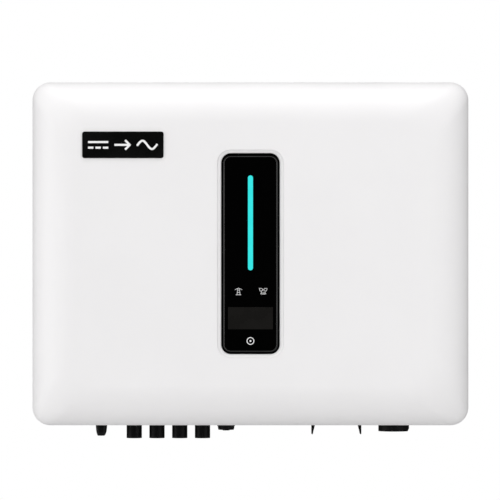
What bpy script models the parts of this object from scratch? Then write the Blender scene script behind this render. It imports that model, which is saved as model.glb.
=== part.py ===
"""A wall-hung three-phase string inverter for solar panels, as an assembly of separate pieces.

Units are metres and +Z is up. The front faces -Y and the wall is at Y = 0. The origin is the middle of the
wall bracket's back face. Everything that hangs on the bracket is placed from the middle of the body, which
is BODY_DROP below the origin.
"""

from math import atan2, cos, pi, sin, tau

import bmesh
import bpy
from mathutils import Matrix, Vector

# ---------------------------------------------------------------- driving dimensions
BODY_DROP = 0.060           # the body's middle, below the bracket's middle
COVER_WIDTH = 0.534
COVER_HEIGHT = 0.420
COVER_CORNER = 0.022        # corner radius of the silhouette
COVER_FACE_CORNER = 0.030   # corner radius of the flat front face
COVER_ROLL = 0.050          # radius of the soft front edge
COVER_WALL = 0.0035
FRONT_Y = -0.210            # the flat front face
SKIRT_Y = -0.146            # the cover's back rim
FLANGE_Y = -0.152           # the housing flange's front face
SINK_FACE_Y = -0.070        # the heat sink's front face, where the power modules sit
FIN_ROOT_Y = -0.060
FIN_TIP_Y = -0.014
GAP = 0.0003                # between pieces that rest on each other

HOUSING_WIDTH = 0.494
HOUSING_HEIGHT = 0.380
HOUSING_WALL = 0.003
FLOOR_Z = -HOUSING_HEIGHT / 2           # underside of the housing, where the ports are
PORT_Y = -0.112                         # depth of the row of ports

DISPLAY_WIDTH = 0.0708
DISPLAY_HEIGHT = 0.2433
DISPLAY_CORNER = 0.0116
DISPLAY_RIM = 0.003                     # width of the ring round the panel
RECESS_WIDTH = 0.0816
RECESS_HEIGHT = 0.2539
RECESS_CORNER = 0.0168
RECESS_FLOOR_Y = -0.206
DISH = [(0.0, 0.0), (0.0012, 0.0015), (0.0029, 0.0028)]     # insets and depths of the recess from its mouth
DISH_FOOT_Y = -0.2065                   # where the dish meets the display
LIGHT_BAR = (0.0061, 0.1152)            # width and height
LIGHT_BAR_Z = 0.0377
SCREEN = (0.0545, 0.0268)
SCREEN_Z = -0.0781
BADGE = (0.0986, 0.0320)
BADGE_CENTRE = (-0.1548, 0.1323)

SWITCH_X = -0.1842
PV_MIDDLE_X = -0.10152
PV_PITCH = 0.02815
PV_COUNT = 4
DATA_X = -0.0301
VENT_X = 0.030
COM_X = 0.1062
AC_X = 0.1772
EARTH_Z = -0.150

CAPACITOR_COUNT = 3
CAPACITOR_PITCH = 0.052

BRACKET_WIDTH = 0.300
BRACKET_HOLES = [(x, z) for x in (-0.120, 0.120) for z in (-0.028, 0.028)]
SCREW_PLACES = [(x, z) for x in (-0.257, 0.257) for z in (-0.120, 0.120)]
ROUND_STEPS = 20


# ---------------------------------------------------------------- scene and helpers
def clear_scene():
    for obj in list(bpy.data.objects):
        bpy.data.objects.remove(obj)


def collection(name):
    made = bpy.data.collections.new(name)
    bpy.context.scene.collection.children.link(made)
    return made


def material(name, colour, roughness, metallic=0.0, glow=0.0):
    made = bpy.data.materials.new(name)
    made.use_nodes = True
    shader = made.node_tree.nodes["Principled BSDF"]
    shader.inputs["Base Color"].default_value = (*colour, 1.0)
    shader.inputs["Roughness"].default_value = roughness
    shader.inputs["Metallic"].default_value = metallic
    shader.inputs["Emission Color"].default_value = (*colour, 1.0)
    shader.inputs["Emission Strength"].default_value = glow
    return made


def place(name, mesh, location, rotation, finish, parent):
    obj = bpy.data.objects.new(name, mesh)
    obj.location = location
    obj.rotation_euler = rotation
    obj.parent = parent
    if finish is None:
        obj.hide_render = True
        obj.display_type = "WIRE"
        CUTTERS.objects.link(obj)
    else:
        mesh.materials.append(finish)
        PARTS.objects.link(obj)
    return obj


def rounded_rectangle(width, height, radius, centre=(0.0, 0.0), segments=5):
    """Points of a rounded rectangle, anticlockwise."""
    points = []
    for quarter, (sx, sy) in enumerate([(1, 1), (-1, 1), (-1, -1), (1, -1)]):
        cx = centre[0] + sx * (width / 2 - radius)
        cy = centre[1] + sy * (height / 2 - radius)
        for step in range(segments + 1):
            angle = (quarter + step / segments) * pi / 2
            points.append((cx + radius * cos(angle), cy + radius * sin(angle)))
    return points


def rectangle(width, height, centre=(0.0, 0.0)):
    cx, cy = centre
    return [(cx + sx * width / 2, cy + sy * height / 2)
            for sx, sy in [(1, 1), (-1, 1), (-1, -1), (1, -1)]]


ALONG = {"Z": (0, 0, 0), "Y": (pi / 2, 0, 0), "X": (pi / 2, 0, pi / 2)}


def extrusion(name, outlines, length, location, along, finish=None, parent=None):
    """Flat outlines, the first one outermost and the others holes, drawn out by length along an axis.

    The outline's plane is XY for along Z, XZ for along Y and YZ for along X; location is its middle.
    """
    curve = bpy.data.curves.new(name, "CURVE")
    curve.dimensions = "2D"
    curve.fill_mode = "BOTH"
    curve.extrude = length / 2
    for outline in outlines:
        spline = curve.splines.new("POLY")
        spline.points.add(len(outline) - 1)
        for point, (x, y) in zip(spline.points, outline):
            point.co = (x, y, 0.0, 1.0)
        spline.use_cyclic_u = True
    drawn = bpy.data.objects.new(name + "_outline", curve)
    bpy.context.scene.collection.objects.link(drawn)
    mesh = mesh_from_curve(drawn, name)
    return place(name, mesh, location, ALONG[along], finish, parent)


def mesh_from_curve(drawn, name):
    """The curve object's surface as a closed mesh; the curve is removed."""
    graph = bpy.context.evaluated_depsgraph_get()
    mesh = bpy.data.meshes.new_from_object(drawn.evaluated_get(graph))
    mesh.name = name
    mesh.materials.clear()
    shape = bmesh.new()
    shape.from_mesh(mesh)
    bmesh.ops.remove_doubles(shape, verts=shape.verts, dist=1e-6)
    bmesh.ops.recalc_face_normals(shape, faces=shape.faces)
    shape.to_mesh(mesh)
    shape.free()
    bpy.data.objects.remove(drawn)
    return mesh


def box(name, size, location, finish=None, parent=None, bevel=0.0):
    shape = bmesh.new()
    bmesh.ops.create_cube(shape, size=1.0)
    bmesh.ops.scale(shape, vec=size, verts=shape.verts)
    mesh = bpy.data.meshes.new(name)
    shape.to_mesh(mesh)
    shape.free()
    made = place(name, mesh, location, (0, 0, 0), finish, parent)
    if bevel:
        rounding = made.modifiers.new("rounded_edges", "BEVEL")
        rounding.width = bevel
        rounding.segments = 2
    return made


def turned(name, profile, location, rotation=(0, 0, 0), finish=None, parent=None, steps=ROUND_STEPS):
    """A profile of (radius, height) points, running down its outer side, turned about its own Z axis."""
    mesh = bpy.data.meshes.new(name)
    edges = [(i, i + 1) for i in range(len(profile) - 1)]
    mesh.from_pydata([(r, 0.0, z) for r, z in profile], edges, [])
    made = place(name, mesh, location, rotation, finish, parent)
    lathe = made.modifiers.new("turned", "SCREW")
    lathe.steps = steps
    lathe.render_steps = steps
    lathe.use_merge_vertices = True
    lathe.merge_threshold = 0.00002
    lathe.use_smooth_shade = True
    return made


def loft(name, sections, closed_ends, location=(0, 0, 0), finish=None, parent=None):
    """Skin over sections of equal point count, with the last one capped, and the first too if asked."""
    shape = bmesh.new()
    rings = [[shape.verts.new(point) for point in section] for section in sections]
    count = len(rings[0])
    for ring, following in zip(rings, rings[1:]):
        for i in range(count):
            j = (i + 1) % count
            shape.faces.new((ring[i], ring[j], following[j], following[i]))
    shape.faces.new(rings[-1])
    if closed_ends:
        shape.faces.new(list(reversed(rings[0])))
    bmesh.ops.recalc_face_normals(shape, faces=shape.faces)
    mesh = bpy.data.meshes.new(name)
    shape.to_mesh(mesh)
    shape.free()
    return place(name, mesh, location, (0, 0, 0), finish, parent)


def boolean(target, other, operation):
    modifier = target.modifiers.new(operation.lower() + "_" + other.name, "BOOLEAN")
    modifier.operation = operation
    modifier.object = other
    modifier.solver = "EXACT"
    return target


def cut(target, other):
    return boolean(target, other, "DIFFERENCE")


def join(target, other):
    return boolean(target, other, "UNION")


def drill(target, name, radius, length, location, along="Z", steps=ROUND_STEPS, parent=None):
    """Cuts a round hole of that radius; the cutter is centred on location."""
    profile = [(0, length / 2), (radius, length / 2), (radius, -length / 2), (0, -length / 2)]
    turn = {"Z": (0, 0, 0), "Y": (pi / 2, 0, 0), "X": (0, pi / 2, 0)}[along]
    return cut(target, turned(name, profile, location, turn, None, parent, steps))


def empty(name, location, parent=None):
    made = bpy.data.objects.new(name, None)
    made.location = location
    made.parent = parent
    made.empty_display_size = 0.02
    PARTS.objects.link(made)
    return made


clear_scene()
PARTS = collection("string_inverter")
CUTTERS = collection("cutters")

WHITE_PAINT = material("white_paint", (0.84, 0.835, 0.84), 0.45)
CAST_GREY = material("cast_aluminium", (0.62, 0.63, 0.64), 0.5, 0.7)
ZINC_STEEL = material("zinc_steel", (0.60, 0.61, 0.62), 0.4, 0.9)
BLACK_PLASTIC = material("black_plastic", (0.012, 0.012, 0.012), 0.45)
BLACK_GLASS = material("black_glass", (0.003, 0.003, 0.003), 0.08)
SCREEN_GLASS = material("screen_glass", (0.009, 0.009, 0.008), 0.25)
CYAN_LIGHT = material("cyan_light", (0.04, 0.83, 0.82), 0.4, glow=1.0)
BLACK_RUBBER = material("black_rubber", (0.02, 0.02, 0.02), 0.8)
BOARD_GREEN = material("circuit_board", (0.02, 0.14, 0.06), 0.5)
POTTED_GREY = material("potted_block", (0.10, 0.10, 0.11), 0.6)
CAPACITOR_SLEEVE = material("capacitor_sleeve", (0.02, 0.03, 0.09), 0.4)
SIGNAL_GREY = material("grey_ribbon", (0.45, 0.45, 0.46), 0.6)
RED_WIRE = material("red_wire", (0.45, 0.02, 0.02), 0.5)

WALL = empty("wall_side", (0, 0, 0))
BODY = empty("inverter_body", (0, 0, -BODY_DROP))

# ---------------------------------------------------------------- wall bracket and what hangs on it
LIP_TOP_Z = 0.060
bracket = extrusion(
    "wall_bracket",
    [[(0, -0.055), (0, 0.045), (-0.006, 0.045), (-0.006, LIP_TOP_Z), (-0.009, LIP_TOP_Z),
      (-0.009, 0.042), (-0.003, 0.042), (-0.003, -0.055)]],
    BRACKET_WIDTH, (0, 0, 0), "X", ZINC_STEEL, WALL)
for number, (hole_x, hole_z) in enumerate(BRACKET_HOLES, 1):
    drill(bracket, f"anchor_hole_{number}", 0.0045, 0.02, (hole_x, 0, hole_z), "Y", 16, WALL)

HOOK_BACK_Y = -0.0028
SHEET = 0.0025
STRAP_Y = FIN_TIP_Y + GAP
HOOK_END_Z = 0.0465
STRAP_END_Z = 0.012
HOOK_INNER_Z = LIP_TOP_Z + GAP
extrusion(
    "hanger_bar",
    [[(HOOK_BACK_Y, HOOK_END_Z), (HOOK_BACK_Y, HOOK_INNER_Z + SHEET), (STRAP_Y, HOOK_INNER_Z + SHEET),
      (STRAP_Y, STRAP_END_Z), (STRAP_Y + SHEET, STRAP_END_Z), (STRAP_Y + SHEET, HOOK_INNER_Z),
      (HOOK_BACK_Y - SHEET, HOOK_INNER_Z), (HOOK_BACK_Y - SHEET, HOOK_END_Z)]],
    0.260, (0, 0, BODY_DROP), "X", ZINC_STEEL, BODY)

extrusion(
    "lower_stay",
    [[(0, -0.100), (-SHEET, -0.100), (-SHEET, -0.128), (STRAP_Y, -0.128), (STRAP_Y, -0.160),
      (STRAP_Y + SHEET, -0.160), (STRAP_Y + SHEET, -0.1305), (0, -0.1305)]],
    0.160, (0, 0, 0), "X", ZINC_STEEL, BODY)

# ---------------------------------------------------------------- heat sink: one extruded comb
SINK_WIDTH = 0.480
SINK_HEIGHT = 0.356
FIN_COUNT = 34
FIN_THICKNESS = 0.003


def comb_outline():
    """The base plate with its fins behind it, seen from above."""
    half = SINK_WIDTH / 2
    pitch = (SINK_WIDTH - FIN_THICKNESS) / (FIN_COUNT - 1)
    points = [(half, SINK_FACE_Y), (-half, SINK_FACE_Y)]
    for fin in range(FIN_COUNT):
        left = -half + fin * pitch
        right = left + FIN_THICKNESS
        if fin:
            points.append((left, FIN_ROOT_Y))
        points += [(left, FIN_TIP_Y), (right, FIN_TIP_Y)]
        if fin < FIN_COUNT - 1:
            points.append((right, FIN_ROOT_Y))
    return points


extrusion("heat_sink", [comb_outline()], SINK_HEIGHT, (0, 0, 0), "Z", CAST_GREY, BODY)

# ---------------------------------------------------------------- housing: a tray with a flange
HOUSING_BACK_Y = SINK_FACE_Y - GAP
FLANGE_SIZE = (0.522, 0.408)


def slab(name, size, radius, near_y, far_y, finish=None, hole=None, segments=5):
    """A rounded plate facing the front, between two depths, with an optional (size, radius) hole."""
    outlines = [rounded_rectangle(*size, radius, segments=segments)]
    if hole:
        outlines.append(rounded_rectangle(*hole[0], hole[1], segments=segments))
    middle = (0, (near_y + far_y) / 2, 0)
    return extrusion(name, outlines, abs(near_y - far_y), middle, "Y", finish, BODY)


housing_size = (HOUSING_WIDTH, HOUSING_HEIGHT)
cavity_size = (HOUSING_WIDTH - 2 * HOUSING_WALL, HOUSING_HEIGHT - 2 * HOUSING_WALL)
housing = slab("housing", housing_size, 0.014, HOUSING_BACK_Y, FLANGE_Y, WHITE_PAINT)
join(housing, slab("housing_flange", FLANGE_SIZE, 0.016, FLANGE_Y, FLANGE_Y + 0.003))
cut(housing, slab("housing_cavity", cavity_size, 0.011, HOUSING_BACK_Y - HOUSING_WALL, FLANGE_Y - 0.02))
cut(housing, slab("module_window", (0.430, 0.290), 0.006, HOUSING_BACK_Y + 0.01, HOUSING_BACK_Y - 0.02,
                  segments=2))
for label, hole_x, hole_radius in [("switch", SWITCH_X, 0.006), ("data", DATA_X, 0.0095),
                                   ("vent", VENT_X, 0.006), ("ac", AC_X, 0.0155)]:
    drill(housing, label + "_port_hole", hole_radius, 0.02, (hole_x, PORT_Y, FLOOR_Z), parent=BODY)
PV_PLACES = [PV_MIDDLE_X + (i - (PV_COUNT - 1) / 2) * PV_PITCH for i in range(PV_COUNT)]
for number, pv_x in enumerate(PV_PLACES, 1):
    drill(housing, f"pv_port_hole_{number}", 0.008, 0.02, (pv_x, PORT_Y, FLOOR_Z), steps=16, parent=BODY)
cut(housing, box("com_port_hole", (0.045, 0.021, 0.02), (COM_X, PORT_Y, FLOOR_Z), None, BODY))
drill(housing, "earth_hole", 0.0032, 0.02, (HOUSING_WIDTH / 2, PORT_Y, EARTH_Z), "X", 12, BODY)
for number, (screw_x, screw_z) in enumerate(SCREW_PLACES, 1):
    drill(housing, f"flange_hole_{number}", 0.0024, 0.02, (screw_x, FLANGE_Y, screw_z), "Y", 12, BODY)

slab("cover_gasket", (0.506, 0.392), 0.014, FLANGE_Y - GAP, FLANGE_Y - 0.0037, BLACK_RUBBER,
     hole=((0.496, 0.382), 0.009), segments=4)

# ---------------------------------------------------------------- front cover: a soft-edged shell
ROLL_STEPS = 8


def cover_section(inset, depth_y):
    """The cover's outline where the soft edge has turned in by inset."""
    share = inset / COVER_ROLL
    radius = COVER_CORNER + share * (COVER_FACE_CORNER - COVER_CORNER)
    width, height = COVER_WIDTH - 2 * inset, COVER_HEIGHT - 2 * inset
    return [(x, depth_y, z) for x, z in rounded_rectangle(width, height, radius)]


cover_sections = [cover_section(0.0, SKIRT_Y)]
for step in range(ROLL_STEPS + 1):
    roll = step / ROLL_STEPS * pi / 2
    cover_sections.append(
        cover_section(COVER_ROLL * (1 - cos(roll)), FRONT_Y + COVER_ROLL * (1 - sin(roll))))
cover = loft("front_cover", cover_sections, False, finish=WHITE_PAINT, parent=BODY)
wall = cover.modifiers.new("wall", "SOLIDIFY")
wall.thickness = COVER_WALL
wall.offset = -1.0
wall.use_even_offset = True

RIB_Y = FLANGE_Y - 0.004
join(cover, slab("sealing_rib", (COVER_WIDTH - 0.003, COVER_HEIGHT - 0.003), COVER_CORNER - 0.0015,
                 RIB_Y, RIB_Y - 0.0025, hole=((0.498, 0.384), 0.010)))
PAD_SIZE = (0.092, 0.266)               # the thicker plate behind the recess
PAD_CORNER = 0.018
PAD_BACK_Y = -0.2012
WINDOW_SIZE = (0.058, 0.232)            # the opening behind the display
WINDOW_CORNER = 0.008
join(cover, slab("display_pad", PAD_SIZE, PAD_CORNER, FRONT_Y + 0.0015, PAD_BACK_Y))


def recess_section(inset, depth_y):
    """The mouth of the recess, turned in by inset on every side."""
    width, height = RECESS_WIDTH - 2 * inset, RECESS_HEIGHT - 2 * inset
    return [(x, depth_y, z) for x, z in rounded_rectangle(width, height, RECESS_CORNER - inset)]


foot_inset = (RECESS_WIDTH - DISPLAY_WIDTH) / 2 - GAP
recess_sections = [recess_section(foot_inset, RECESS_FLOOR_Y), recess_section(foot_inset, DISH_FOOT_Y)]
recess_sections += [recess_section(inset, FRONT_Y + depth) for inset, depth in reversed(DISH)]
recess_sections.append(recess_section(-0.001, FRONT_Y - 0.001))
cut(cover, loft("display_recess", recess_sections, True, parent=BODY))
cut(cover, slab("display_window", WINDOW_SIZE, WINDOW_CORNER, PAD_BACK_Y + 0.006, FRONT_Y - 0.005))
for number, (screw_x, screw_z) in enumerate(SCREW_PLACES, 1):
    drill(cover, f"cover_thread_{number}", 0.0023, 0.006, (screw_x, RIB_Y, screw_z), "Y", 12, BODY)

# ---------------------------------------------------------------- display and badge
LENS_BACK_Y = RECESS_FLOOR_Y - GAP
LENS_FRONT_Y = -0.2085
FRAME_FRONT_Y = -0.2087
BOARD_BACK_Y = -0.1988
BOARD_THICKNESS = 0.0016
BADGE_THICKNESS = 0.0012
frame_hole = (DISPLAY_WIDTH - 2 * DISPLAY_RIM, DISPLAY_HEIGHT - 2 * DISPLAY_RIM)
slab("display_frame", (DISPLAY_WIDTH, DISPLAY_HEIGHT), DISPLAY_CORNER, LENS_BACK_Y, FRAME_FRONT_Y,
     BLACK_PLASTIC, hole=(frame_hole, DISPLAY_CORNER - DISPLAY_RIM))
SLIT = 2 * GAP                          # what a fitted piece is smaller than its opening


def stadium(width, height, centre=(0.0, 0.0)):
    """A bar with fully round ends."""
    return rounded_rectangle(width, height, width / 2 - 0.00001, centre)


extrusion("display_lens",
          [rounded_rectangle(frame_hole[0] - SLIT, frame_hole[1] - SLIT, DISPLAY_CORNER - DISPLAY_RIM - GAP),
           stadium(LIGHT_BAR[0] + SLIT, LIGHT_BAR[1] + SLIT, (0, LIGHT_BAR_Z)),
           rectangle(SCREEN[0] + SLIT, SCREEN[1] + SLIT, (0, SCREEN_Z))],
          LENS_BACK_Y - LENS_FRONT_Y, (0, (LENS_BACK_Y + LENS_FRONT_Y) / 2, 0), "Y", BLACK_GLASS, BODY)
GUIDE_BACK_Y = -0.2008
guide_depth, guide_y = GUIDE_BACK_Y - LENS_FRONT_Y, (GUIDE_BACK_Y + LENS_FRONT_Y) / 2
extrusion("light_guide", [stadium(*LIGHT_BAR)], guide_depth, (0, guide_y, LIGHT_BAR_Z), "Y", CYAN_LIGHT, BODY)
box("oled_module", (SCREEN[0], guide_depth, SCREEN[1]), (0, guide_y, SCREEN_Z), SCREEN_GLASS, BODY)
box("display_board", (0.076, BOARD_THICKNESS, 0.250), (0, BOARD_BACK_Y - BOARD_THICKNESS / 2, 0), BOARD_GREEN,
    BODY)
extrusion("badge_plate", [rounded_rectangle(*BADGE, 0.003, segments=4)], BADGE_THICKNESS,
          (BADGE_CENTRE[0], FRONT_Y - GAP - BADGE_THICKNESS / 2, BADGE_CENTRE[1]), "Y", BLACK_PLASTIC, BODY)

# ---------------------------------------------------------------- DC switch
MODULE_SIZE = (0.046, 0.046, 0.066)
MODULE_Z = FLOOR_Z + HOUSING_WALL + 0.0005 + MODULE_SIZE[2] / 2
module = box("dc_switch_module", MODULE_SIZE, (SWITCH_X, PORT_Y, MODULE_Z), BLACK_PLASTIC, BODY)
drill(module, "cam_chamber", 0.0106, 0.060, (SWITCH_X, PORT_Y, FLOOR_Z + 0.022), parent=BODY)
plate = extrusion("dc_switch_plate", [rounded_rectangle(0.048, 0.048, 0.004, segments=3)], 0.0055,
                  (SWITCH_X, PORT_Y, FLOOR_Z - GAP - 0.00275), "Z", BLACK_PLASTIC, BODY)
drill(plate, "plate_bore", 0.0048, 0.02, (SWITCH_X, PORT_Y, FLOOR_Z), parent=BODY)

SWITCH_AXIS = empty("dc_switch_axis", (SWITCH_X, PORT_Y, FLOOR_Z), BODY)
turned("dc_switch_shaft",
       [(0, 0.050), (0.010, 0.050), (0.010, 0.010), (0.0038, 0.010), (0.0038, -0.0215), (0, -0.0215)],
       (0, 0, 0), finish=BLACK_PLASTIC, parent=SWITCH_AXIS)
KNOB_TOP = -0.0063
knob = turned("dc_switch_knob",
              [(0, KNOB_TOP), (0.019, KNOB_TOP), (0.019, -0.013), (0.0175, -0.0148), (0, -0.0148)],
              (0, 0, 0), finish=BLACK_PLASTIC, parent=SWITCH_AXIS, steps=28)
GRIP_PROFILE = [(0.0072, -0.013), (0.0067, -0.021), (0.0061, -0.0275), (0.0056, -0.0305),
                (0.0045, -0.0343)]
grip_outline = GRIP_PROFILE + [(-x, z) for x, z in reversed(GRIP_PROFILE)]
join(knob, extrusion("knob_grip", [grip_outline], 0.0366, (0, 0, 0), "Y", None, SWITCH_AXIS))
drill(knob, "knob_bore", 0.0042, 0.030, (0, 0, -0.0070), parent=SWITCH_AXIS)

# ---------------------------------------------------------------- panel input sockets, dust caps and leads
SOCKET_PROFILE = [(0, 0.018), (0.0076, 0.018), (0.0076, -0.0003), (0.0096, -0.0003), (0.0096, -0.0045),
                  (0.0075, -0.0045), (0.0075, -0.0265), (0.0055, -0.0265), (0.0055, -0.0065),
                  (0.0020, -0.0065), (0.0020, -0.0220), (0, -0.0220)]
CAP_END = -0.0378
CAP_PROFILE = [(0, -0.0225), (0.0024, -0.0225), (0.0024, -0.0090), (0.0052, -0.0090), (0.0052, -0.0270),
               (0.0078, -0.0270), (0.0078, -0.0050), (0.0092, -0.0050), (0.0092, CAP_END + 0.0006),
               (0.0086, CAP_END), (0, CAP_END)]
LEAD_RADIUS = 0.0028
LEAD_BEND = 0.013
LEAD_START_Z = FLOOR_Z + 0.018 + GAP
LEAD_END_X = SWITCH_X + MODULE_SIZE[0] / 2 + GAP


def bend_route(start, corner_z, end, bend, points_in_bend=6):
    """Up from start to corner_z, round a quarter bend, then straight to end."""
    direction = Vector((end[0] - start[0], end[1] - start[1], 0)).normalized()
    route = [Vector(start), Vector((start[0], start[1], corner_z - bend))]
    centre = Vector((start[0], start[1], corner_z - bend)) + direction * bend
    for step in range(1, points_in_bend + 1):
        angle = step / points_in_bend * pi / 2
        route.append(centre - direction * bend * cos(angle) + Vector((0, 0, bend * sin(angle))))
    route.append(Vector(end))
    return route


def tube(name, route, radius, finish, parent):
    curve = bpy.data.curves.new(name, "CURVE")
    curve.dimensions = "3D"
    curve.bevel_depth = radius
    curve.bevel_resolution = 2
    curve.use_fill_caps = True
    spline = curve.splines.new("POLY")
    spline.points.add(len(route) - 1)
    for point, place_at in zip(spline.points, route):
        point.co = (*place_at, 1.0)
    curve.materials.append(finish)
    made = bpy.data.objects.new(name, curve)
    made.parent = parent
    PARTS.objects.link(made)
    return made


for number, pv_x in enumerate(PV_PLACES, 1):
    port = empty(f"pv_axis_{number}", (pv_x, PORT_Y, FLOOR_Z), BODY)
    turned(f"pv_socket_{number}", SOCKET_PROFILE, (0, 0, 0), finish=BLACK_PLASTIC, parent=port, steps=16)
    turned(f"pv_cap_{number}", CAP_PROFILE, (0, 0, 0), finish=BLACK_RUBBER, parent=port, steps=16)
    lead_z = LEAD_START_Z + LEAD_BEND + 0.001 + (number - 1) * 0.009
    tube(f"pv_lead_{number}",
         bend_route((pv_x, PORT_Y, LEAD_START_Z), lead_z, (LEAD_END_X, PORT_Y, lead_z), LEAD_BEND),
         LEAD_RADIUS, RED_WIRE if number % 2 else BLACK_RUBBER, BODY)

# ---------------------------------------------------------------- data port: socket, screw cap and its seal
DATA_AXIS = empty("data_axis", (DATA_X, PORT_Y, FLOOR_Z), BODY)
turned("data_socket",
       [(0, 0.014), (0.0090, 0.014), (0.0090, -0.0003), (0.0120, -0.0003), (0.0120, -0.0043),
        (0.0086, -0.0043), (0.0086, -0.0185), (0.0065, -0.0185), (0.0065, -0.0060), (0, -0.0060)],
       (0, 0, 0), finish=BLACK_PLASTIC, parent=DATA_AXIS)
turned("data_seal",
       [(0, -0.0070), (0.0061, -0.0070), (0.0061, -0.0190), (0.0086, -0.0190), (0.0086, -0.0215),
        (0, -0.0215)],
       (0, 0, 0), finish=BLACK_RUBBER, parent=DATA_AXIS)
turned("data_cap",
       [(0, -0.0220), (0.0090, -0.0220), (0.0090, -0.0050), (0.0120, -0.0050), (0.0120, -0.0205),
        (0.0112, -0.0222), (0.0103, -0.0235), (0.0101, -0.0247), (0.00955, -0.0275), (0.0043, -0.0275),
        (0.0043, -0.0284), (0, -0.0284)],
       (0, 0, 0), finish=BLACK_PLASTIC, parent=DATA_AXIS, steps=24)

# ---------------------------------------------------------------- communications port with two squeeze latches
COM_ORIGIN = empty("com_axis", (COM_X, PORT_Y, FLOOR_Z), BODY)
com_base = extrusion("com_base", [rounded_rectangle(0.058, 0.032, 0.003, segments=3)], 0.0045,
                     (0, 0, -GAP - 0.00225), "Z", BLACK_PLASTIC, COM_ORIGIN)
join(com_base, box("com_throat", (0.0435, 0.0195, 0.016), (0, 0, 0.005), None, COM_ORIGIN))
cut(com_base, box("com_recess", (0.0380, 0.0140, 0.028), (0, 0, -0.0050), None, COM_ORIGIN))
com_cover = extrusion("com_cover", [rounded_rectangle(0.050, 0.028, 0.004, segments=3)], 0.0119,
                      (0, 0, -0.01105), "Z", BLACK_PLASTIC, COM_ORIGIN)
join(com_cover, box("com_plug", (0.0374, 0.0134, 0.016), (0, 0, -0.0002), None, COM_ORIGIN))
PIVOT_X = 0.0284
PIVOT_Z = -0.0125
EAR_Y = 0.01025
for side in (-1, 1):
    for depth in (-1, 1):
        ear = box(f"latch_ear_{side}_{depth}", (0.0085, 0.0025, 0.0072),
                  (side * 0.02745, depth * EAR_Y, PIVOT_Z), None, COM_ORIGIN)
        join(com_cover, ear)
    drill(com_cover, f"pivot_hole_{side}", 0.0019, 0.030, (side * PIVOT_X, 0, PIVOT_Z), "Y", 12,
          COM_ORIGIN)

LATCH_OUTER = 0.0308
LATCH_PROFILE = [(LATCH_OUTER, -0.0065), (0.0266, -0.0065), (0.0262, -0.0080), (0.0264, -0.0200),
                 (0.0267, -0.0225), (0.0275, -0.0255), (0.0284, -0.0288), (0.0289, -0.0315),
                 (0.0293, -0.0328), (0.0302, -0.0330), (LATCH_OUTER, -0.0324)]
for side, label in ((-1, "left"), (1, "right")):
    pivot = empty(f"com_latch_{label}_pivot", (side * PIVOT_X, 0, PIVOT_Z), COM_ORIGIN)
    outline = [(side * (x - PIVOT_X), z - PIVOT_Z) for x, z in LATCH_PROFILE]
    latch = extrusion(f"com_latch_{label}", [outline], 0.0172, (0, 0, 0), "Y", BLACK_PLASTIC, pivot)
    trunnion = [(0, 0.0112), (0.0015, 0.0112), (0.0015, -0.0112), (0, -0.0112)]
    join(latch, turned(f"latch_trunnion_{label}", trunnion, (0, 0, 0), (pi / 2, 0, 0), None, pivot, 12))

# ---------------------------------------------------------------- grid port: flanged socket and bayonet cap
AC_AXIS = empty("ac_axis", (AC_X, PORT_Y, FLOOR_Z), BODY)
ac_socket = turned(
    "ac_socket",
    [(0, 0.014), (0.0150, 0.014), (0.0150, -0.0040), (0.0155, -0.0040), (0.0155, -0.0220),
     (0.0125, -0.0220), (0.0125, -0.0060), (0.0090, -0.0060), (0.0090, -0.0200), (0, -0.0200)],
    (0, 0, 0), finish=BLACK_PLASTIC, parent=AC_AXIS, steps=24)
join(ac_socket, extrusion("ac_flange", [rounded_rectangle(0.044, 0.044, 0.006, segments=3)], 0.0047,
                          (0, 0, -GAP - 0.00235), "Z", None, AC_AXIS))
turned("ac_seal",
       [(0, -0.0203), (0.0094, -0.0203), (0.0094, -0.0080), (0.0121, -0.0080), (0.0121, -0.0223),
        (0.0155, -0.0223), (0.0155, -0.0247), (0, -0.0247)],
       (0, 0, 0), finish=BLACK_RUBBER, parent=AC_AXIS, steps=24)
AC_CAP_RADIUS = 0.0190
AC_CAP_END = -0.0292
THUMB_ACROSS = 0.0020       # how much the thumb flat takes off the end, and off the side
THUMB_UP = 0.0037
ac_cap = turned(
    "ac_cap",
    [(0, -0.0250), (0.0160, -0.0250), (0.0160, -0.0055), (AC_CAP_RADIUS, -0.0055),
     (AC_CAP_RADIUS, AC_CAP_END), (0, AC_CAP_END)],
    (0, 0, 0), finish=BLACK_PLASTIC, parent=AC_AXIS, steps=28)
thumb_tilt = atan2(THUMB_ACROSS, THUMB_UP)
flat_middle = Vector((AC_CAP_RADIUS - THUMB_ACROSS / 2, 0, AC_CAP_END + THUMB_UP / 2))
flat_outward = Vector((cos(thumb_tilt), 0, -sin(thumb_tilt)))
thumb_cutter = box("thumb_flat", (0.006, 0.020, 0.012), flat_middle + flat_outward * 0.003, None, AC_AXIS)
thumb_cutter.rotation_euler = (0, thumb_tilt, 0)
cut(ac_cap, thumb_cutter)

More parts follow.
